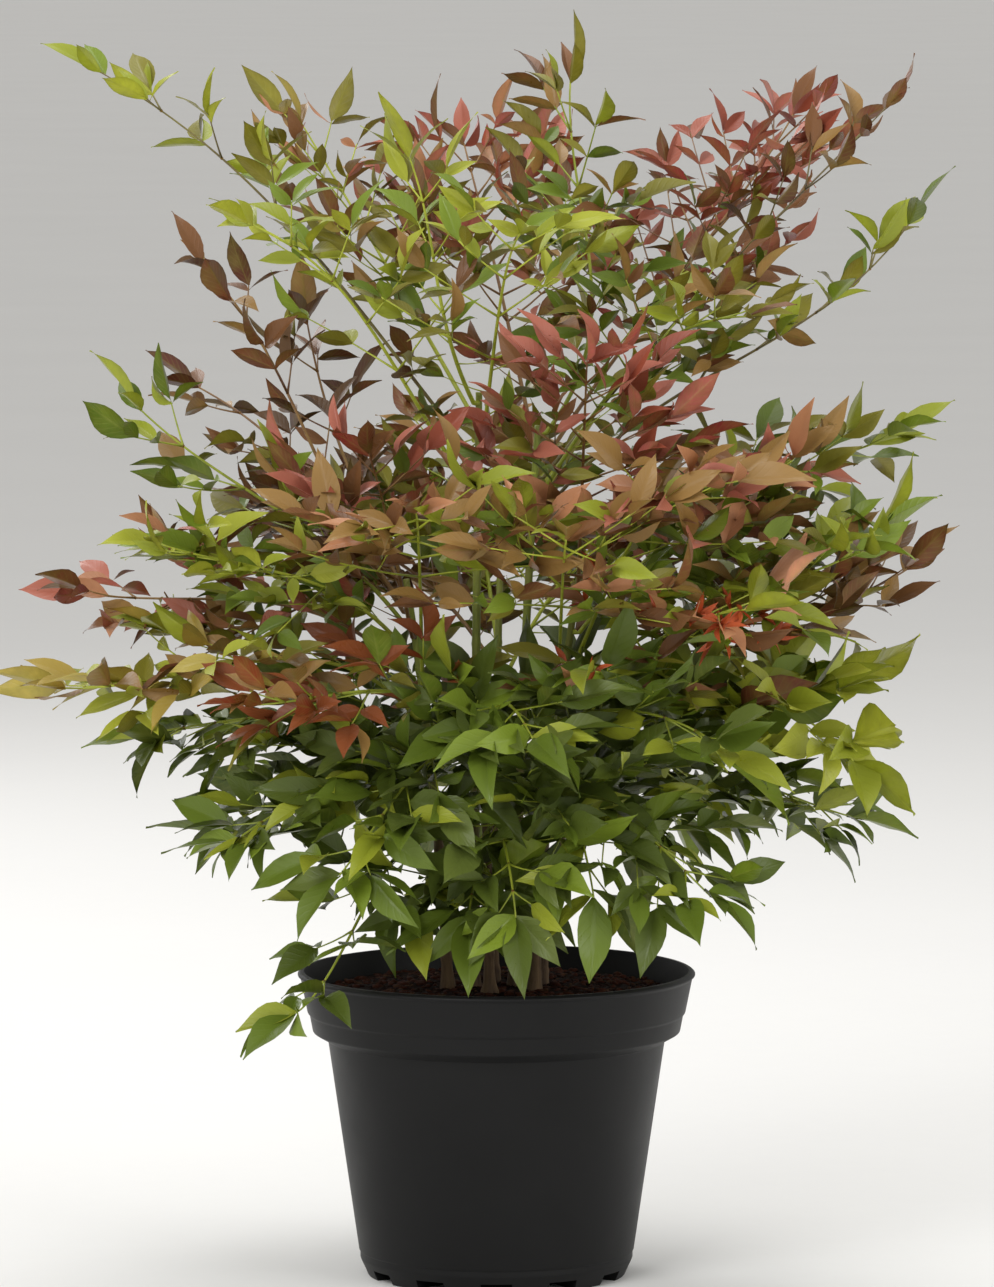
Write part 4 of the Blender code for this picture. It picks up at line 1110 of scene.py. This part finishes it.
def blade(bud, leaf, broad, chance):
    """(points, uvs) of one leaflet: two halves of 10 stations by 3, folded, arched and twisted."""
    at_tip = bud.place == 1.0
    shortest, longest = TIP_LENGTHS if at_tip else OTHER_LENGTHS
    length = leaf.size * bud.size * chance.triangular(shortest, longest, USUAL_LENGTH)
    stray = random_vector(chance, TIP_STRAY if at_tip else OTHER_STRAY)
    lift = RISING_LIFT if leaf.nod > RISING_NOD else LEVEL_LIFT
    lift += chance.uniform(-LIFT_SPREAD, LIFT_SPREAD)
    way = (bud.way + UP * lift + stray).normalized()
    outward = Vector((bud.root.x, bud.root.y, 0))
    outward = outward.normalized() if outward.length > 0.01 else Vector((0, -1, 0))
    facing = UP * FACE_UP + outward * FACE_OUT + random_vector(chance, FACE_STRAY)
    across = facing.cross(way)
    if across.length < 0.1:
        across = bud.across.copy()
    across.normalize()
    over = way.cross(across)
    half = length * broad / 2 * chance.uniform(*BREADTHS)
    fold = math.radians(chance.uniform(*FOLDS))
    arch, hook = chance.uniform(*ARCHES), chance.uniform(*HOOKS)
    twist = chance.gauss(0, TWIST)
    # t runs along the blade and s across it
    t = STATIONS[:, None]
    s = ACROSS[None, :]
    wide = half * HALF_WIDTHS[:, None] * s
    drop = -arch * length * t**2 - hook * length * t**6
    rise = np.abs(wide) * math.tan(fold) - BELLY * half * (np.abs(s) * 2 - s * s) ** 2
    turn = twist * t
    waves = t * chance.uniform(*RIPPLE_WAVES) + chance.random()
    ripple = RIPPLE * half * np.sin(math.tau * waves)
    side = wide * np.cos(turn)
    up = drop + rise + wide * np.sin(turn) + ripple * np.abs(s) * s
    forward = length * t * (1 - 0.35 * arch * t) * np.ones_like(s)
    root = np.array(bud.root)
    points = (
        root
        + forward[..., None] * np.array(way)
        + side[..., None] * np.array(across)
        + up[..., None] * np.array(over)
    )
    uvs = np.stack(np.broadcast_arrays((s + 1) / 2, t), axis=-1)
    return points.reshape(-1, 3), uvs.reshape(-1, 2)


# To either side the rib fades out over one part in so many of the blade's width. The veins are
# counted along the blade, and slant towards its tip.
RIB_PARTS = 13.0
RIB_PALENESS = 0.75
VEINS = 8.0
VEIN_SLANT = 4.0
VEIN_FINENESS = 6.0
EDGE_FINENESS = 5.0
EDGE_SHADE = 0.25
BROAD_SCALE = 34
CLOSE_SCALE = 260
FLUSH_SCALE = 75
FLUSH_STRENGTH = 0.75


def build_leaf_face():
    """A leaf blade's face: a pale midrib, faint side veins, a darker edge and soft mottling."""
    group, given, result = new_group(
        "leaf_face",
        (("Blade colour", "Color", (0.1, 0.2, 0.05, 1)), ("Rib colour", "Color", (0.3, 0.4, 0.1, 1)),
         ("Flush colour", "Color", (0.2, 0.2, 0.04, 1)), ("Vein depth", "Float", 0.32)),
        (("Colour", "Color"), ("Roughness", "Float"), ("Height", "Float")),
    )
    nodes, links = group.nodes, group.links

    def maths(operation, first, second=None, clamp=False, third=None):
        node = nodes.new("ShaderNodeMath")
        node.operation, node.use_clamp = operation, clamp
        for number, value in enumerate((first, second, third)):
            if value is None:
                continue
            if isinstance(value, (int, float)):
                node.inputs[number].default_value = value
            else:
                links.new(value, node.inputs[number])
        return node.outputs[0]

    uv = nodes.new("ShaderNodeUVMap")
    uv.uv_map = "blade"
    parts = nodes.new("ShaderNodeSeparateXYZ")
    links.new(uv.outputs["UV"], parts.inputs[0])
    aside = maths("ABSOLUTE", maths("SUBTRACT", parts.outputs["X"], 0.5))
    rib = maths("SUBTRACT", 1.0, maths("MULTIPLY", aside, RIB_PARTS), clamp=True)
    along = maths("MULTIPLY", parts.outputs["Y"], VEINS)
    slant = maths("SUBTRACT", along, maths("MULTIPLY", aside, VEIN_SLANT))
    wave = maths("SINE", maths("MULTIPLY", slant, math.tau))
    veins = maths("POWER", maths("MULTIPLY_ADD", wave, 0.5, third=0.5), VEIN_FINENESS)
    veins = maths("MULTIPLY", veins, given.outputs["Vein depth"])
    marks = maths("MAXIMUM", maths("MULTIPLY", rib, RIB_PALENESS), veins)
    edge = maths("POWER", maths("MULTIPLY", aside, 2.0), EDGE_FINENESS)
    place = nodes.new("ShaderNodeTexCoord")
    broad, close = nodes.new("ShaderNodeTexNoise"), nodes.new("ShaderNodeTexNoise")
    broad.inputs["Scale"].default_value = BROAD_SCALE
    close.inputs["Scale"].default_value = CLOSE_SCALE
    for noise in (broad, close):
        noise.inputs["Detail"].default_value = 2
        links.new(place.outputs["Object"], noise.inputs["Vector"])
    tone = maths("MULTIPLY_ADD", broad.outputs["Fac"], 0.95, third=0.52)
    tone = maths("MULTIPLY", tone, maths("MULTIPLY_ADD", close.outputs["Fac"], 0.30, third=0.85))
    tone = maths("MULTIPLY", tone, maths("MULTIPLY_ADD", edge, -EDGE_SHADE, third=1.0))
    flushed, ribbed = nodes.new("ShaderNodeMix"), nodes.new("ShaderNodeMix")
    flushed.data_type = ribbed.data_type = "RGBA"
    patch = nodes.new("ShaderNodeTexNoise")
    patch.inputs["Scale"].default_value = FLUSH_SCALE
    links.new(place.outputs["Object"], patch.inputs["Vector"])
    flush = maths("MULTIPLY_ADD", patch.outputs["Fac"], 2.6, clamp=True, third=-0.95)
    links.new(maths("MULTIPLY", flush, FLUSH_STRENGTH), flushed.inputs["Factor"])
    links.new(given.outputs["Blade colour"], flushed.inputs["A"])
    links.new(given.outputs["Flush colour"], flushed.inputs["B"])
    links.new(marks, ribbed.inputs["Factor"])
    links.new(flushed.outputs["Result"], ribbed.inputs["A"])
    links.new(given.outputs["Rib colour"], ribbed.inputs["B"])
    shaded = nodes.new("ShaderNodeVectorMath")
    shaded.operation = "SCALE"
    links.new(ribbed.outputs["Result"], shaded.inputs[0])
    links.new(tone, shaded.inputs["Scale"])
    links.new(shaded.outputs[0], result.inputs["Colour"])
    sheen = maths("MULTIPLY_ADD", broad.outputs["Fac"], 0.45, third=0.06)
    sheen = maths("MULTIPLY_ADD", close.outputs["Fac"], 0.2, third=sheen)
    links.new(sheen, result.inputs["Roughness"])
    grain = maths("MULTIPLY", close.outputs["Fac"], 0.3)
    relief = maths("SUBTRACT", grain, maths("MAXIMUM", rib, veins))
    links.new(relief, result.inputs["Height"])
    return group


# Buds this far out or less take the foot's colours, and those further out the tips' more and
# more often
INNER_PLACE = 0.15
TIP_GAIN = 1.5
TUFT_LEAFLETS = 5
TUFT_STRAY = 0.45
TUFT_SIZES = (0.3, 0.55)
TUFT_BREADTH = 0.24
RIB_TINT = np.array((0.28, 0.28, 0.06))
FLUSH_TINT = np.array((0.20, 0.20, 0.03))
UNDER_TINT = np.array((0.030, 0.034, 0.008))
leaf_face = build_leaf_face()
blades = {colour: [] for colour in LEAF_COLOURS}
for name, growth in growths.items():
    chance = random.Random(name + " leaflets")
    inner, outer, broad = PALETTES[growth.leaf.palette]
    for bud in growth.buds:
        tips = chance.random() < (bud.place - INNER_PLACE) * TIP_GAIN
        colour = chance.choice(outer if tips else inner)
        if colour != "scarlet":
            blades[colour].append(blade(bud, growth.leaf, broad, chance))
            continue
        # The newest growth is a tuft of tiny narrow leaflets, not yet spread
        for _ in range(TUFT_LEAFLETS):
            toward = bud.way + random_vector(chance, TUFT_STRAY)
            small = bud._replace(way=toward.normalized(), size=bud.size * chance.uniform(*TUFT_SIZES))
            blades[colour].append(blade(small, growth.leaf, TUFT_BREADTH, chance))
rows, columns = len(STATIONS), len(ACROSS)
grid = np.arange(rows * columns).reshape(rows, columns)
quads = np.stack([grid[:-1, :-1], grid[:-1, 1:], grid[1:, 1:], grid[1:, :-1]], axis=-1)
# The two halves meet along the midrib and aren't joined there, so the fold stays crisp
quads = quads[:, [0, 1, 3, 4]].reshape(-1, 4)
for colour, found in blades.items():
    points = np.vstack([points for points, _ in found])
    uvs = np.vstack([uvs for _, uvs in found])
    faces = np.vstack([quads + number * rows * columns for number in range(len(found))])
    piece = new_piece("leaflets_" + colour, mesh_from("leaflets_" + colour, points, faces, uvs), "deep")
    made, tree, shader = new_material("leaf_" + colour, gloss=0.32)
    face = tree.nodes.new("ShaderNodeGroup")
    face.node_tree = leaf_face
    tint = np.array(linear(LEAF_COLOURS[colour]))
    pale = tint * 0.6 + RIB_TINT * 0.4
    flush = tint * 0.45 + FLUSH_TINT * 0.55
    face.inputs["Blade colour"].default_value = (*tint, 1)
    face.inputs["Flush colour"].default_value = (*flush, 1)
    face.inputs["Rib colour"].default_value = (*pale, 1)
    # The underside is duller and greyer than the face
    side = tree.nodes.new("ShaderNodeNewGeometry")
    under = tree.nodes.new("ShaderNodeMix")
    under.data_type = "RGBA"
    under.inputs["B"].default_value = (*(tint * 0.85 + UNDER_TINT), 1)
    tree.links.new(side.outputs["Backfacing"], under.inputs["Factor"])
    tree.links.new(face.outputs["Colour"], under.inputs["A"])
    tree.links.new(under.outputs["Result"], shader.inputs["Base Color"])
    tree.links.new(face.outputs["Roughness"], shader.inputs["Roughness"])
    set_relief(tree, shader, face.outputs["Height"], depth=0.0004, strength=0.5)
    piece.data.materials.append(made)
